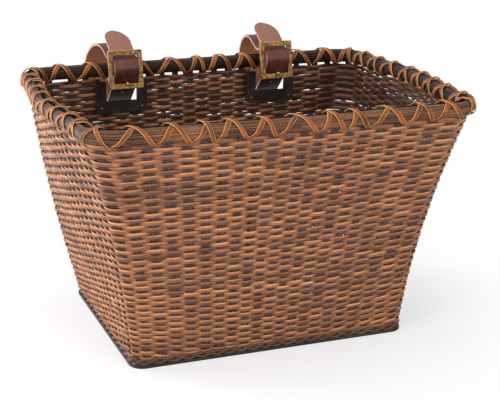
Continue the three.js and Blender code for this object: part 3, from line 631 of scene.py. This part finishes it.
# A float is a weaver's pass over one stake, and a cane is the run of floats that one strip makes
FLOATS = ROWS, STAKES
float_lift = np.clip(RANDOM.normal(0, 0.00022, FLOATS), -LIFT_LIMIT, LIFT_LIMIT)
float_bulge = RANDOM.normal(1, 0.1, FLOATS)
float_width = np.clip(RANDOM.normal(1, 0.06, FLOATS), *WIDTH_LIMITS)
float_roll = RANDOM.normal(0.1, 0.14, FLOATS)
row_wave = RANDOM.uniform(0, 2 * np.pi, (ROWS, 2))
cane_start = RANDOM.integers(0, STAKES, (ROWS, 1))
cane_run = RANDOM.integers(17, 33, (ROWS, 1))
cane_tone = RANDOM.uniform(0.3, 0.7, (ROWS, 6))
cane_piece = ((np.arange(STAKES) - cane_start) % STAKES) // cane_run
float_tone = np.take_along_axis(cane_tone, cane_piece, 1) + RANDOM.normal(0, 0.15, FLOATS)
float_loose = RANDOM.uniform(0, 1, FLOATS) ** 2


def at_stakes(table, rows, place):
    """Values given for each row and stake, eased from stake to stake at a place counted in stakes."""
    before = np.floor(place).astype(int)
    first, second = table[rows, before % STAKES], table[rows, (before + 1) % STAKES]
    return first + (second - first) * eased(place - before)


def row_height(u, level):
    """Height of a row of that level: the lower rows rise towards the two front corners, the top ones in
    front, and all but the lowest and the highest rise a little to the right."""
    level = np.broadcast_to(level, u.shape)
    x, y, _ = np.moveaxis(wall(u, level), -1, 0)
    share = np.clip((level - ROW_LOW) / (ROW_HIGH - ROW_LOW), 0, 1)
    rightward = x / (RIM_LENGTH / 2)
    forward = np.clip(0.5 - y / BASE_DEPTH, 0, 1)
    rise = ROW_RISE * (1 - share) ** 2 * (x / BASE_LENGTH * 2) ** 2 * forward
    rise += TOP_RISE * share ** 8 * forward
    return level + rise + ROW_TILT * np.sin(np.pi * share) * rightward


def stake_count(u):
    """Stakes up to a share of the way round: a sine crowds them in the middle of each side."""
    return STAKES * (u + STAKE_CROWDING * np.sin(8 * np.pi * u) / (8 * np.pi))


def weavers(rows, u):
    """Flat oval cane along rows x rings. Its middle swings by a steepened cosine from outside one stake to
    inside the next. Each float has its own lift, bulge, width and roll. It is narrower at the back, and at
    the ends by the square of the wall's turn to the side, most of all at the left."""
    rows = rows[:, None]
    place = stake_count(u) - 0.5
    swing = np.tanh(SWING_STEEP * np.cos(np.pi * (place + rows))) / math.tanh(SWING_STEEP)
    wave = np.sin(2 * np.pi * u * 3 + row_wave[rows, 0]) + np.sin(2 * np.pi * u * 7 + row_wave[rows, 1])
    z = row_height(u, ROW_LEVELS[rows]) + at_stakes(float_lift, rows, place)
    z = np.maximum(z + WAVE_HEIGHT * wave, ROW_LOWEST)
    _, up, out = wall_frame(u, z)
    path = wall(u, z) + out * (WEAVE_REACH * swing * at_stakes(float_bulge, rows, place))[..., None]
    roll = at_stakes(float_roll, rows, place)[..., None]
    thick, tall = oval(turns(8), 3.2)
    thick = thick * WEAVER_THICK / 2
    clear = np.clip((z - ROW_LOW) / ROW_PITCHES[rows] + 1, 0.05, 1)
    behind = np.clip(path[..., 1] / BACK_Y * 10 - 8, 0, 1)
    spread = WEAVER_SPREAD * at_stakes(float_width, rows, place) * clear
    spread *= 1 - BACK_LOOSE * behind * at_stakes(float_loose, rows, place)
    spread *= 1 - END_LOOSE * (0.6 - 0.4 * out[..., 0]) * out[..., 0] ** 2
    tall = tall * (ROW_PITCHES[rows] / 2 * spread)[..., None]
    outward = thick * np.cos(roll) - tall * np.sin(roll)
    upward = tall * np.cos(roll) + thick * np.sin(roll)
    values = np.stack([at_stakes(float_tone, rows, np.round(place)), swing]).reshape(2, -1)
    return carried(path, out, up, outward, upward), values.repeat(len(thick), 1)


def u_at_back(x, z):
    """Shares of the way round at which the back wall has these x at height z."""
    u = np.linspace(BACK_START, BACK_END, 400)
    return np.interp(-x, -wall(u, z)[:, 0], u)


def cane_rows(name, rows):
    """Rows of weavers. Those beside the strap windows are strips that end at the windows' edges."""
    under = ROW_LEVELS[rows] < WINDOW_SILL
    whole = rows[under]
    rings = STAKES * WEAVER_STEPS
    runs = []
    if len(whole):
        runs.append((whole, np.broadcast_to(np.arange(rings) / rings, (len(whole), rings))))
    corners = [x + half for x in (STRAP_SIDE, -STRAP_SIDE) for half in (WINDOW_HALF, -WINDOW_HALF)]
    for row in rows[~under]:
        a, b, c, d = (u_at_back(x, ROW_LEVELS[row]) for x in corners)
        for start, end in ((b, c), (d, a + 1)):
            runs.append((np.array([row]), np.linspace(start, end, int((end - start) * rings) + 2)[None]))
    points, values = zip(*(weavers(*run) for run in runs))
    parts = join(*(tube(some, closed=run[0] is whole) for some, run in zip(points, runs)))
    tone, swing = np.concatenate(values, 1)
    piece(name, parts, "basket", "woven_cane", WEAVER, ["woven_wall"], tone=tone, swing=swing)


def stakes():
    """Flat upright stakes from the base hoop up between the rim's hoops, or up to a strap window's sill.
    Each leans to and fro by a sine. The attribute end is the square of the wall's turn to the side, which
    places the stakes' painted shade on the end walls."""
    shares = np.linspace(0, 1, 4001)
    u = np.interp(np.arange(STAKES) + 0.5 + RANDOM.normal(0, 0.05, STAKES), stake_count(shares), shares)
    top = np.full(STAKES, RIM_MIDDLE + STAKE_HEAD)
    x = wall(u, SHOULDER)[:, 0]
    behind = (u > BACK_START) & (u < BACK_END)
    in_window = behind & (np.abs(np.abs(x) - STRAP_SIDE) < WINDOW_HALF + STAKE_WIDTH / 3)
    top[in_window] = WINDOW_SILL
    foot = WALL_FOOT - STAKE_FOOT
    z = foot + np.linspace(0, 1, STAKE_STEPS) * (top[:, None] - foot)
    lean = RANDOM.normal(0, 0.04, (STAKES, 1))
    lean = lean * np.sin(z / LEAN_LENGTH + RANDOM.uniform(0, 6, (STAKES, 1)))
    u = u[:, None] + lean / STAKES
    along, _, out = wall_frame(u, z)
    room = np.linalg.norm(wall(u + 0.5 / STAKES, z) - wall(u - 0.5 / STAKES, z), axis=-1)
    width = np.minimum(STAKE_WIDTH, room * STAKE_ROOM) * (1 + RANDOM.normal(0, 0.05, (STAKES, 1)))
    thick, wide = oval(turns(10), 3.5)
    points = carried(wall(u, z), along, out, -wide * width[..., None] / 2, thick * STAKE_THICK / 2)
    # where the stakes' painted shade falls on the end walls
    end = (out[..., 0] ** 2).repeat(len(thick))
    piece("cane_stakes", tube(points), "basket", "woven_cane", STAKE, ["woven_wall"], end=end)


def twined_rows():
    """Two rows at the base, each of two round strands that turn about each other between the stakes."""
    rings = STAKES * WEAVER_STEPS
    u = np.broadcast_to(np.arange(rings) / rings, (2 * len(TWINE_LEVELS), rings))
    phase = np.pi * (stake_count(u) - 0.5 + np.array([0, 1, 0.5, 1.5])[:, None])
    z = np.repeat(TWINE_LEVELS, 2)[:, None] + TWINE_RISE * np.sin(phase)
    _, up, out = wall_frame(u, z)
    path = wall(u, z) + out * (TWINE_REACH * np.cos(phase))[..., None]
    angle = turns(8)
    points = carried(path, out, up, TWINE_RADIUS * np.cos(angle), TWINE_RADIUS * np.sin(angle))
    piece("twined_rows", tube(points, True), "basket", "woven_cane", TWINE, ["woven_wall"])


def hoop(name, line, section, level, material, slot, nodes):
    """A closed section of (outward, up) points carried round an outline at a level."""
    x, y = line(np.arange(HOOP_STEPS)[:, None] / HOOP_STEPS, section[:, 0])
    points = np.stack([x, y, np.broadcast_to(level + section[:, 1], x.shape)], -1)
    piece(name, tube(points[None], True), "basket", slot, material, nodes)


def rim_section(side):
    """The part of the rim's oval beyond the groove, on one side of it."""
    flat = RIM_GROOVE / 2
    limit = math.acos((flat / RIM_HALF) ** (RIM_POWER / 2))
    across, up = oval(np.linspace(-limit, limit, 19), RIM_POWER)
    return np.stack([side * across * RIM_HALF, up * RIM_HEIGHT / 2], -1)


def round_section(half_width, low, high, radius):
    """A rectangle with quarter-round corners."""
    turn = np.radians(np.arange(0, 360, 90)[:, None] + np.linspace(0, 90, 5))
    across = np.array([1, -1, -1, 1])[:, None] * (half_width - radius) + radius * np.cos(turn)
    centre = np.array([high - radius, high - radius, low + radius, low + radius])
    up = centre[:, None] + radius * np.sin(turn)
    return np.stack([across.reshape(-1), up.reshape(-1)], -1)


# Lashing. Two strips of opposite hands go once round the rim from each hole under it to the next.
dense = np.linspace(0, 1, 2001)
rim_distance = distances(np.stack(rim_line(dense), -1))
RIM_ROUND = rim_distance[-1]
HOLES = 2 * LASH_TURNS
hole_shift = RANDOM.uniform(-0.2, 0.2, HOLES)
turn_width = RANDOM.normal(1, 0.09, (2, HOLES))
turn_shift = RANDOM.normal(0, 0.05, (2, HOLES))


def lash_place(turn, hand, lift):
    """Point on a strip: its angle round the rim's oval grows with its way along the rim. The left-hand strip
    rises over the right-hand one by a squared sine at the top and under the rim, where they cross."""
    angle = hand * 2 * np.pi * turn - np.pi / 2
    across, up = oval(angle, RIM_POWER)
    reach = LASH_GAP + lift
    if hand < 0:
        reach += (LASH_THICK + LASH_CROSS_GAP) * np.minimum(LASH_RISE * np.sin(angle) ** 2, 1)
    hole = np.floor(turn).astype(int)
    share = turn - hole
    ease = eased(share)
    shift = hole_shift[hole % HOLES] * (1 - ease) + hole_shift[(hole + 1) % HOLES] * ease
    shift += turn_shift[(hand + 1) // 2][hole % HOLES] * np.sin(np.pi * share) ** 2
    distance = np.mod((turn + shift) * RIM_ROUND / HOLES + LASH_START * RIM_ROUND, RIM_ROUND)
    x, y = rim_line(np.interp(distance, rim_distance, dense), across * (RIM_HALF + reach))
    return np.stack([x, y, RIM_MIDDLE + up * (RIM_HEIGHT / 2 + reach)], -1)


def lashing(name, hand, first_turn):
    """A domed flat strip carried along its turns, whose edges the attribute edge marks."""
    turn = first_turn + np.linspace(LASH_END, LASH_TURNS - LASH_END, LASH_TURNS * LASH_STEPS)
    path = lash_place(turn, hand, 0.0)
    up = unit(lash_place(turn, hand, 0.001) - path)
    along = unit(np.gradient(path, axis=0))
    across = unit(np.cross(along, up))
    width = LASH_WIDTH * np.interp(turn, np.arange(2 * HOLES), np.tile(turn_width[(hand + 1) // 2], 2))
    flat = LASH_SECTION[:, 0] * width[:, None]
    points = carried(path, across, up, flat, LASH_SECTION[:, 1] * LASH_THICK)
    edge = np.broadcast_to(np.abs(LASH_SECTION[:, 0]) * 2, flat.shape)
    piece("cane_" + name, tube(points[None]), "basket", "lashing_cane", LASH, [name], edge=edge)


# Straps. Their route lies in the Y Z plane, as the frame's straps do.
def polar(centre, degrees, across, up=None):
    """Point at an angle on a circle, or on an ellipse where up is given."""
    angle = math.radians(degrees)
    return centre + np.array([across * math.cos(angle), (across if up is None else up) * math.sin(angle)])


SIDEWAYS = np.array([1.0, 0, 0])
LASH_REACH = 0.0033
STRAP_RIM_GAP = 0.0005
BUCKLE_BAR = np.array([BACK_Y - RIM_HALF - 0.0132, RIM_TOP - 0.0025])
BUCKLE_UP = np.array([math.sin(BUCKLE_TILT), math.cos(BUCKLE_TILT)])
BUCKLE_BEHIND = np.array([math.cos(BUCKLE_TILT), -math.sin(BUCKLE_TILT)])
WRAP = BAR_RADIUS + FIT + STRAP_THICK / 2
OVER_RIM = RIM_TOP + LASH_REACH + STRAP_RIM_GAP + STRAP_THICK / 2
LOOP_CENTRE = np.array([BACK_Y + 0.025, RIM_TOP - 0.011])
LOOP_RADIUS = 0.0224 + STRAP_THICK / 2
LOOP_DROP = 0.040
FOLD_ALONG = np.array([math.cos(FOLD_TILT), math.sin(FOLD_TILT)])
FOLD_UP = np.array([-FOLD_ALONG[1], FOLD_ALONG[0]])
FOLD_LAYER = STRAP_THICK + 0.0004
RIVET_TOP = np.array([BUCKLE_BAR[0] + 0.0074, OVER_RIM - STRAP_RIM_GAP])
RAIL_INNER = BUCKLE_HEIGHT / 2 - RAIL
RAIL_CLEAR = STRAP_THICK / 2 + 0.0008


def on_buckle(up, behind):
    """Point up the buckle's plane and behind it."""
    return BUCKLE_BAR + BUCKLE_UP * up + BUCKLE_BEHIND * behind


def on_fold(along, up):
    """Point along the riveted fold and over it."""
    return RIVET_TOP + FOLD_ALONG * along + FOLD_UP * up


UNDER_RAIL = polar(on_buckle(-RAIL_INNER, BUCKLE_THICK / 2), 50, RAIL_CLEAR)
OVER_RAIL = polar(on_buckle(RAIL_INNER, BUCKLE_THICK / 2), -50, RAIL_CLEAR)
LOOP_EXIT = polar(LOOP_CENTRE, -120, LOOP_RADIUS, LOOP_DROP)


def strap_route():
    """Points of the strap: the riveted fold, round the buckle's bar, over the rim, round the loop, in
    through the window and up through the buckle to the tip."""
    route = [on_fold(along, -FOLD_LAYER) for along in (0.003, 0, -0.0025)]
    route += [polar(BUCKLE_BAR, degrees, WRAP) for degrees in range(20, -181, -40)]
    bend = polar(BUCKLE_BAR, 102, WRAP + 0.002)
    route += [polar(BUCKLE_BAR, 140, WRAP + 0.0006), bend]
    route += [on_fold(along, 0) for along in (-0.004, 0, 0.004)]
    route += [np.array([BACK_Y + side * RIM_HALF / 2, OVER_RIM]) for side in (-1, 1)]
    route += [polar(LOOP_CENTRE, degrees, LOOP_RADIUS) for degrees in range(128, 0, -32)]
    route += [polar(LOOP_CENTRE, degrees, LOOP_RADIUS, LOOP_DROP) for degrees in range(0, -121, -30)]
    route += [LOOP_EXIT + (UNDER_RAIL - LOOP_EXIT) * share for share in (0.3, 0.6, 0.85, 1)]
    route += [np.array([BUCKLE_BAR[0] - WRAP - FOLD_LAYER, BUCKLE_BAR[1] + BAR_RADIUS])]
    route += [polar(bend, 135, FOLD_LAYER)]
    tip = [polar(OVER_RAIL, 33, TIP_LENGTH * share) for share in (0, 0.25, 0.5, 0.7, 0.8, 0.9, 1)]
    return np.array(route + tip)


def smooth_curve(points, spans):
    """Centripetal Catmull-Rom curve through points, spans samples between two of them."""
    p = np.concatenate([2 * points[:1] - points[1:2], points, 2 * points[-1:] - points[-2:-1]])
    gap = np.linalg.norm(np.diff(p, axis=0), axis=1) ** 0.5
    p0, p1, p2, p3 = p[:-3], p[1:-2], p[2:-1], p[3:]
    d0, d1, d2 = (g[:, None] for g in (gap[:-2], gap[1:-1], gap[2:]))
    m1 = ((p1 - p0) / d0 - (p2 - p0) / (d0 + d1) + (p2 - p1) / d1) * d1
    m2 = ((p2 - p1) / d1 - (p3 - p1) / (d1 + d2) + (p3 - p2) / d2) * d1
    t = (np.arange(spans) / spans)[None, :, None]
    p1, p2, m1, m2 = (q[:, None] for q in (p1, p2, m1, m2))
    curve = ((2 * t ** 3 - 3 * t ** 2 + 1) * p1 + (t ** 3 - 2 * t ** 2 + t) * m1
             + (3 * t ** 2 - 2 * t ** 3) * p2 + (t ** 3 - t ** 2) * m2)
    return np.concatenate([curve.reshape(-1, points.shape[1]), points[-1:]])


def even(points, count):
    """The same curve at even distances."""
    distance = distances(points)
    at = np.linspace(0, distance[-1], count)
    return np.stack([np.interp(at, distance, column) for column in points.T], -1), at


STRAP_LINE, STRAP_AT = even(smooth_curve(strap_route(), 16), 300)
STRAP_ALONG = unit(np.gradient(STRAP_LINE, axis=0))
STRAP_NORMAL = np.stack([-STRAP_ALONG[:, 1], STRAP_ALONG[:, 0]], -1)
late = STRAP_AT > STRAP_AT[-1] / 2
gaps = np.where(late, np.linalg.norm(STRAP_LINE - UNDER_RAIL, axis=1), 1)
PRONG_HOLE = STRAP_AT[np.argmin(gaps)] + HOLE_RADIUS + PRONG_RADIUS
behind_wall = STRAP_AT[(STRAP_LINE[:, 0] > BACK_Y + RIM_HALF * 0.7) & (STRAP_AT < PRONG_HOLE)]
LOOP_START, LOOP_END = behind_wall[0], behind_wall[-1]


def on_strap(at):
    """Middle and normal of the strap at a distance along it."""
    middle, normal = (np.array([np.interp(at, STRAP_AT, column) for column in table.T])
                      for table in (STRAP_LINE, STRAP_NORMAL))
    return middle, unit(normal)


def in_plane(points, x=0.0):
    """Y Z points at a place along X."""
    return np.concatenate([np.full((*points.shape[:-1], 1), x), points], -1)


def lathe(profile, middle, direction):
    """A profile of (radius, height) pairs turned about an axis."""
    direction = unit(np.asarray(direction, float))
    first = unit(np.cross(direction, [0.3, 1.0, 0.2] if abs(direction[0]) > 0.5 else [1.0, 0, 0]))
    second = np.cross(direction, first)
    angle = turns(24)[:, None]
    circle = np.cos(angle) * first + np.sin(angle) * second
    radius, height = np.array(profile)[..., None, None].swapaxes(0, 1)
    return tube((middle + height * direction + radius * circle)[None])


def rod(middle, direction, radius, length):
    """A closed cylinder."""
    return lathe([(radius, -length / 2), (radius, length / 2)], middle, direction)


def cut_out(thing, parts):
    """Cuts a solid made of mesh parts out of a piece."""
    mesh = plain_mesh("cutter", parts)
    dress(mesh, thing.data.materials[0])
    tool = linked("cutter", mesh)
    cut = thing.modifiers.new("cut", "BOOLEAN")
    cut.operation, cut.solver, cut.object = "DIFFERENCE", "EXACT", tool
    bpy.context.view_layer.update()
    shown = thing.evaluated_get(bpy.context.evaluated_depsgraph_get())
    made = bpy.data.meshes.new_from_object(shown)
    thing.modifiers.clear()
    old, thing.data = thing.data, made
    made.name = thing.name
    bpy.data.objects.remove(tool)
    bpy.data.meshes.remove(mesh)
    bpy.data.meshes.remove(old)


def strap(side, x):
    """Leather strap with round edges, punched holes and a slot for the prong's eye. Its tip is cut by a
    short ellipse on its left and a longer one on its right, and its loop sways aside by a squared sine."""
    section = round_section(1.0, -1.0, 1.0, STRAP_EDGE)
    rightward = section[:, 0] > 0
    share = np.minimum((STRAP_AT[-1] - STRAP_AT)[:, None] / np.where(rightward, *TIP_ROUNDS), 1)
    half = STRAP_WIDTH / 2 + np.where(rightward, TIP_ASIDE, -TIP_ASIDE)
    half = np.maximum(half * np.sqrt(1 - (1 - share) ** 2), TIP_LEAST)
    inset = STRAP_THICK / 2 * STRAP_EDGE
    beyond = (np.abs(section[:, 0]) - (1 - STRAP_EDGE)) / STRAP_EDGE
    across = np.sign(section[:, 0]) * (half - inset + beyond * inset) - TIP_ASIDE
    up = section[:, 1] * STRAP_THICK / 2
    along_loop = np.clip((STRAP_AT - LOOP_START) / (LOOP_END - LOOP_START), 0, 1)
    sway = LOOP_SWAY[side] * np.sin(np.pi * along_loop) ** 2
    path = in_plane(STRAP_LINE, x)
    path[:, 0] += sway
    points = carried(path, SIDEWAYS, in_plane(STRAP_NORMAL), across, up)
    made = piece(f"leather_{side}", tube(points[None]), f"strap_{side}", "strap_leather", LEATHER,
                 [f"leather_strap_{side}"], sharp=70)
    tools = []
    for pitch in (-2, -1, 0, 1):
        at = PRONG_HOLE + pitch * HOLE_PITCH
        middle, direction = on_strap(at)
        place = in_plane(middle, x + np.interp(at, STRAP_AT, sway))
        tools.append(rod(place, in_plane(direction), HOLE_CUT, STRAP_THICK + RAIL_CLEAR))
    slot_radius = WRAP + STRAP_THICK / 2 + EYE_SLOT_GAP
    tools.append(rod(in_plane(BUCKLE_BAR, x), SIDEWAYS, slot_radius, EYE_SLOT))
    cut_out(made, join(*tools))
    mark_faces(made.data)


def mark_faces(mesh):
    """Gives a strap's points their height over its middle line, from -1 on one face to 1 on the other."""
    flat = np.empty(len(mesh.vertices) * 3)
    mesh.vertices.foreach_get("co", flat)
    places = flat.reshape(-1, 3)[:, 1:]
    nearest = np.argmin(np.linalg.norm(places[:, None] - STRAP_LINE, axis=-1), 1)
    height = ((places - STRAP_LINE[nearest]) * STRAP_NORMAL[nearest]).sum(1)
    point_values(mesh, "face", np.clip(height / (STRAP_THICK / 2), -1, 1))


def dome(radius, height, count):
    """Profile of a round head from its top to its edge: a quarter ellipse."""
    angle = np.linspace(0.08, 1, count) * math.pi / 2
    return [(radius * math.sin(a), height * math.cos(a)) for a in angle]


def rivet(side, x):
    """Domed rivet through both layers of the fold."""
    grip = (STRAP_THICK + FOLD_LAYER) / 2
    middle = in_plane(on_fold(0.0, -FOLD_LAYER / 2), x)
    head = [(r, grip + h) for r, h in dome(*RIVET_HEAD, 6)]
    shank = [(RIVET_SHANK, -grip), (RIVET_SHANK, grip)]
    parts = lathe([(r, -h) for r, h in head] + shank + head[::-1], middle, in_plane(FOLD_UP))
    piece(f"rivet_{side}", parts, f"strap_{side}", "buckle_brass", BRASS, [f"strap_rivet_{side}"],
          edge=np.zeros(len(parts[0])))


def buckle(side, x):
    """Square buckle: a squarish oval section, wider on the rails than on the sides, carried round a
    rectangle. The attribute edge marks the section's corners, which are worn."""
    out, deep = np.stack(oval(turns(40), 9)) / 2
    section_corner = 0.463
    width = BUCKLE_WIDTH - SIDE_BAR + 2 * out * SIDE_BAR
    height = BUCKLE_HEIGHT - RAIL + 2 * out * RAIL
    corner = BUCKLE_CORNER + (out + 0.5) * BUCKLE_CORNER_MORE
    across, up = outline(np.arange(96)[:, None] / 96, width, height, corner)
    place = BUCKLE_BAR + up[..., None] * BUCKLE_UP + (deep * BUCKLE_THICK)[:, None] * BUCKLE_BEHIND
    points = np.concatenate([x + across[..., None], place], -1)
    worn = np.broadcast_to((np.minimum(np.abs(out), np.abs(deep)) / section_corner) ** 5, across.shape)
    piece(f"buckle_square_{side}", tube(points[None], True), f"buckle_{side}", "buckle_brass", BRASS,
          [f"buckle_frame_{side}"], sharp=30, edge=worn)


def prong(side, x):
    """Prong: an eye round the bar, and a tongue that bends through the strap and swells into a ball."""
    hole, through = on_strap(PRONG_HOLE)
    through = -through if through[0] > 0 else through
    bore = BAR_RADIUS + FIT
    eye = bore + EYE_WALL
    ball = on_buckle(-RAIL_INNER - 0.1 * PRONG_BALL, -BUCKLE_THICK / 2 - 2 * FIT - PRONG_BALL)
    points = np.array([polar(BUCKLE_BAR, -100, eye - 0.6 * PRONG_RADIUS), hole - through * STRAP_THICK, hole,
                       hole + through * 0.8 * STRAP_THICK, ball])
    line, at = even(smooth_curve(points, 16), 60)
    beyond = unit(line[-1] - line[-2])
    tip = np.linspace(-1, 1, 14) * PRONG_BALL * 0.995
    line = np.concatenate([line[at < at[-1] - PRONG_BALL], ball + tip[:, None] * beyond])
    radius = np.concatenate([np.full(len(line) - 14, PRONG_RADIUS), np.sqrt(PRONG_BALL ** 2 - tip ** 2)])
    radius[:-7] = np.maximum(radius[:-7], PRONG_RADIUS)
    along = unit(np.gradient(line, axis=0))
    normal = in_plane(np.stack([-along[:, 1], along[:, 0]], -1))
    angle = turns(16)
    wide, high = radius[:, None] * np.cos(angle), radius[:, None] * np.sin(angle)
    tongue = carried(in_plane(line, x), SIDEWAYS, normal, wide, high)
    profile = [(bore, -EYE_HALF), (eye, -EYE_HALF), (eye, EYE_HALF), (bore, EYE_HALF)]
    turn = turns(24)
    circle = in_plane(np.stack([np.cos(turn), np.sin(turn)], -1))
    sleeve = np.stack([in_plane(BUCKLE_BAR, x) + r * circle + h * SIDEWAYS for r, h in profile], 1)
    parts = join(tube(tongue[None]), tube(sleeve[None], True))
    edge = np.concatenate([np.repeat(radius > PRONG_RADIUS * 1.05, 16), np.zeros(24 * 4)])
    piece(f"prong_{side}", parts, f"prong_{side}", "buckle_brass", BRASS, [f"buckle_prong_{side}"],
          edge=edge)


def black_frame(side):
    """A merged copy of a frame's plain solid with its edges bevelled."""
    name, node = f"black_frame_{side}", f"strap_frame_{side}"
    mesh = frame["nodes"][node].data.copy()
    mesh.name = name
    dress(mesh, BLACK)
    thing = linked(name, mesh)
    thing.modifiers.new("weld", "WELD").merge_threshold = 1e-5
    bevel = thing.modifiers.new("bevel", "BEVEL")
    bevel.width, bevel.segments = FRAME_BEVEL, 2
    bevel.limit_method, bevel.angle_limit = "ANGLE", math.radians(40)
    settle(thing, "basket", [node])


def tack(node):
    """Domed tack pushed through the black frame into the wall."""
    low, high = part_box(node)
    middle = np.array([(low.x + high.x) / 2, low.y + TACK_SINK, (low.z + high.z) / 2])
    reach = high.y - middle[1]
    shank = [(TACK_SHANK, 0.0), (TACK_SHANK, reach - TACK_SHANK), (TACK_SHANK * 0.1, reach)]
    parts = lathe([(r, -h) for r, h in dome(*TACK_HEAD, 7)] + shank, middle, [0, 1.0, 0])
    piece(node + "_dome", parts, "basket", "tack_steel", STEEL, [node])


# Basket
stakes()
for part, rows in zip(("low", "middle", "high"), np.array_split(np.arange(ROWS), 3)):
    cane_rows("cane_rows_" + part, rows)
twined_rows()
core_low = RIM_BOTTOM - RIM_MIDDLE + CORE_LIFT
core = round_section(RIM_GROOVE / 2 - CORE_GAP, core_low, CORE_TOP, CORE_ROUND)
hoop("rim_core", rim_line, core, RIM_MIDDLE, STAKE, "woven_cane", ["woven_wall"])
for name, side, cane in (("outer", 1, RIM_OUTER), ("inner", -1, RIM_SHADED_INNER)):
    hoop(f"rim_{name}", rim_line, rim_section(side), RIM_MIDDLE, cane, "rim_cane", [f"rim_{name}_hoop"])
base_section = round_section(BASE_BAND_WIDTH / 2, 0.0, BASE_BAND_HEIGHT, BASE_BAND_ROUND)
base_section[:, 0] += BASE_BAND_OUT - BASE_BAND_WIDTH / 2
hoop("base_band", base_line, base_section, 0.0, BASE, "base_wood", ["base_hoop"])
dress(frame["nodes"]["base_board"].data, BASE)
for hand_name, hand in (("right", 1), ("left", -1)):
    for place, first_turn in (("front", 0), ("back", LASH_TURNS)):
        lashing(f"lashing_{hand_name}_{place}", hand, first_turn)

# Straps, buckles and frames
for side, x in (("left", -STRAP_SIDE), ("right", STRAP_SIDE)):
    for make in (strap, rivet, buckle, prong):
        make(side, x)
    black_frame(side)
    for end in "ab":
        tack(f"frame_tack_{side}_{end}")
    dress(frame["nodes"][f"buckle_bar_{side}"].data, STEEL)

# Stage: a pale floor, soft lamps and a white world
AIM = Vector((0.0091, -0.014, 0.1051))
CAMERA_AZIMUTH = math.radians(-21.4)
CAMERA_HEIGHT = math.radians(17.56)
CAMERA_ROLL = math.radians(0.66)
CAMERA_DISTANCE = 1.1458
FOCAL_PIXELS = 1291.4
IMAGE_WIDTH = 500
FLOOR_RADIUS = 6
FLOOR_GAP = 0.0002
WORLD_LEVEL = 0.4


def camera():
    """Camera at the photograph's angle: it looks back along a direction given by azimuth and height."""
    a, e = CAMERA_AZIMUTH, CAMERA_HEIGHT
    back = Vector((math.sin(a) * math.cos(e), -math.cos(a) * math.cos(e), math.sin(e)))
    right = Vector((math.cos(a), math.sin(a), 0))
    tilted = right * math.cos(CAMERA_ROLL) + back.cross(right) * math.sin(CAMERA_ROLL)
    data = bpy.data.cameras.new("camera")
    data.sensor_width, data.sensor_fit = 36, "HORIZONTAL"
    data.lens = data.sensor_width * FOCAL_PIXELS / IMAGE_WIDTH
    data.clip_start, data.clip_end = 0.01, 50
    place = Matrix((tilted, back.cross(tilted), back)).transposed().to_4x4()
    place.translation = AIM + back * CAMERA_DISTANCE
    eye = linked("camera", data)
    eye.matrix_world = place
    bpy.context.scene.camera = eye


def lamp(name, place, size, level):
    """A soft square lamp aimed at the basket, which lights a white card there to the level given."""
    towards = AIM - Vector(place)
    data = bpy.data.lights.new(name, "AREA")
    data.shape, data.size = "SQUARE", size
    data.energy = level * math.pi ** 2 * towards.length_squared
    light = linked(name, data)
    light.location = place
    light.rotation_euler = towards.to_track_quat("-Z", "Y").to_euler()


def floor():
    """A pale round floor under the basket, which turns plain white to the camera away from it."""
    angle = turns(64)
    points = FLOOR_RADIUS * np.stack([np.cos(angle), np.sin(angle), np.zeros(64)], -1)
    mesh = plain_mesh("floor", (points, [np.arange(64)[None]]))
    finish = Finish("floor_paint", 0.1)
    finish.shader.inputs["Roughness"].default_value = 0.9
    finish.shader.inputs["Base Color"].default_value = (0.95, 0.935, 0.93, 1)
    tree, (x, y, _) = finish.tree, finish.place
    away = (x * x + y * y).math("SQRT").ease(0.12, 0.34)
    seen = Shade.add(tree, "LightPath", output="Is Camera Ray")
    glow = Shade.add(tree, "Emission", {"Color": (1.0, 1.0, 1.0), "Strength": 1.0})
    paint = Shade(tree, finish.shader.outputs["BSDF"])
    both = Shade.add(tree, "MixShader", {0: seen * (away * 0.4 + 0.6), 1: paint, 2: glow})
    tree.links.new(both.socket, tree.nodes["Material Output"].inputs["Surface"])
    dress(mesh, finish.material)
    ground = linked("floor", mesh)
    ground.location.z = -FLOOR_GAP


def world():
    """White surroundings: plain white to the camera and in reflections, and a softer level as light."""
    sky = bpy.data.worlds.new("world")
    sky.use_nodes = True
    tree = sky.node_tree
    direct = [Shade.add(tree, "LightPath", output=f"Is {kind} Ray")
              for kind in ("Camera", "Glossy", "Transmission")]
    seen = direct[0].math("MAXIMUM", direct[1]).math("MAXIMUM", direct[2])
    strength = seen * (1 - WORLD_LEVEL) + WORLD_LEVEL
    glow = tree.nodes["Background"].inputs
    glow["Color"].default_value = (1, 1, 1, 1)
    tree.links.new(strength.socket, glow["Strength"])
    bpy.context.scene.world = sky


camera()
floor()
world()
lamp("key", (-2.2, -1.0, 1.5), 1.6, 0.55)
lamp("left", (-2.0, 1.5, 0.7), 1.2, 0.95)
lamp("fill", (1.0, -2.4, 1.2), 1.6, 0.36)
lamp("top", (-0.3, 0.1, 2.6), 1.4, 0.25)
bpy.context.scene.view_settings.view_transform = "Standard"

bpy.context.view_layer.update()
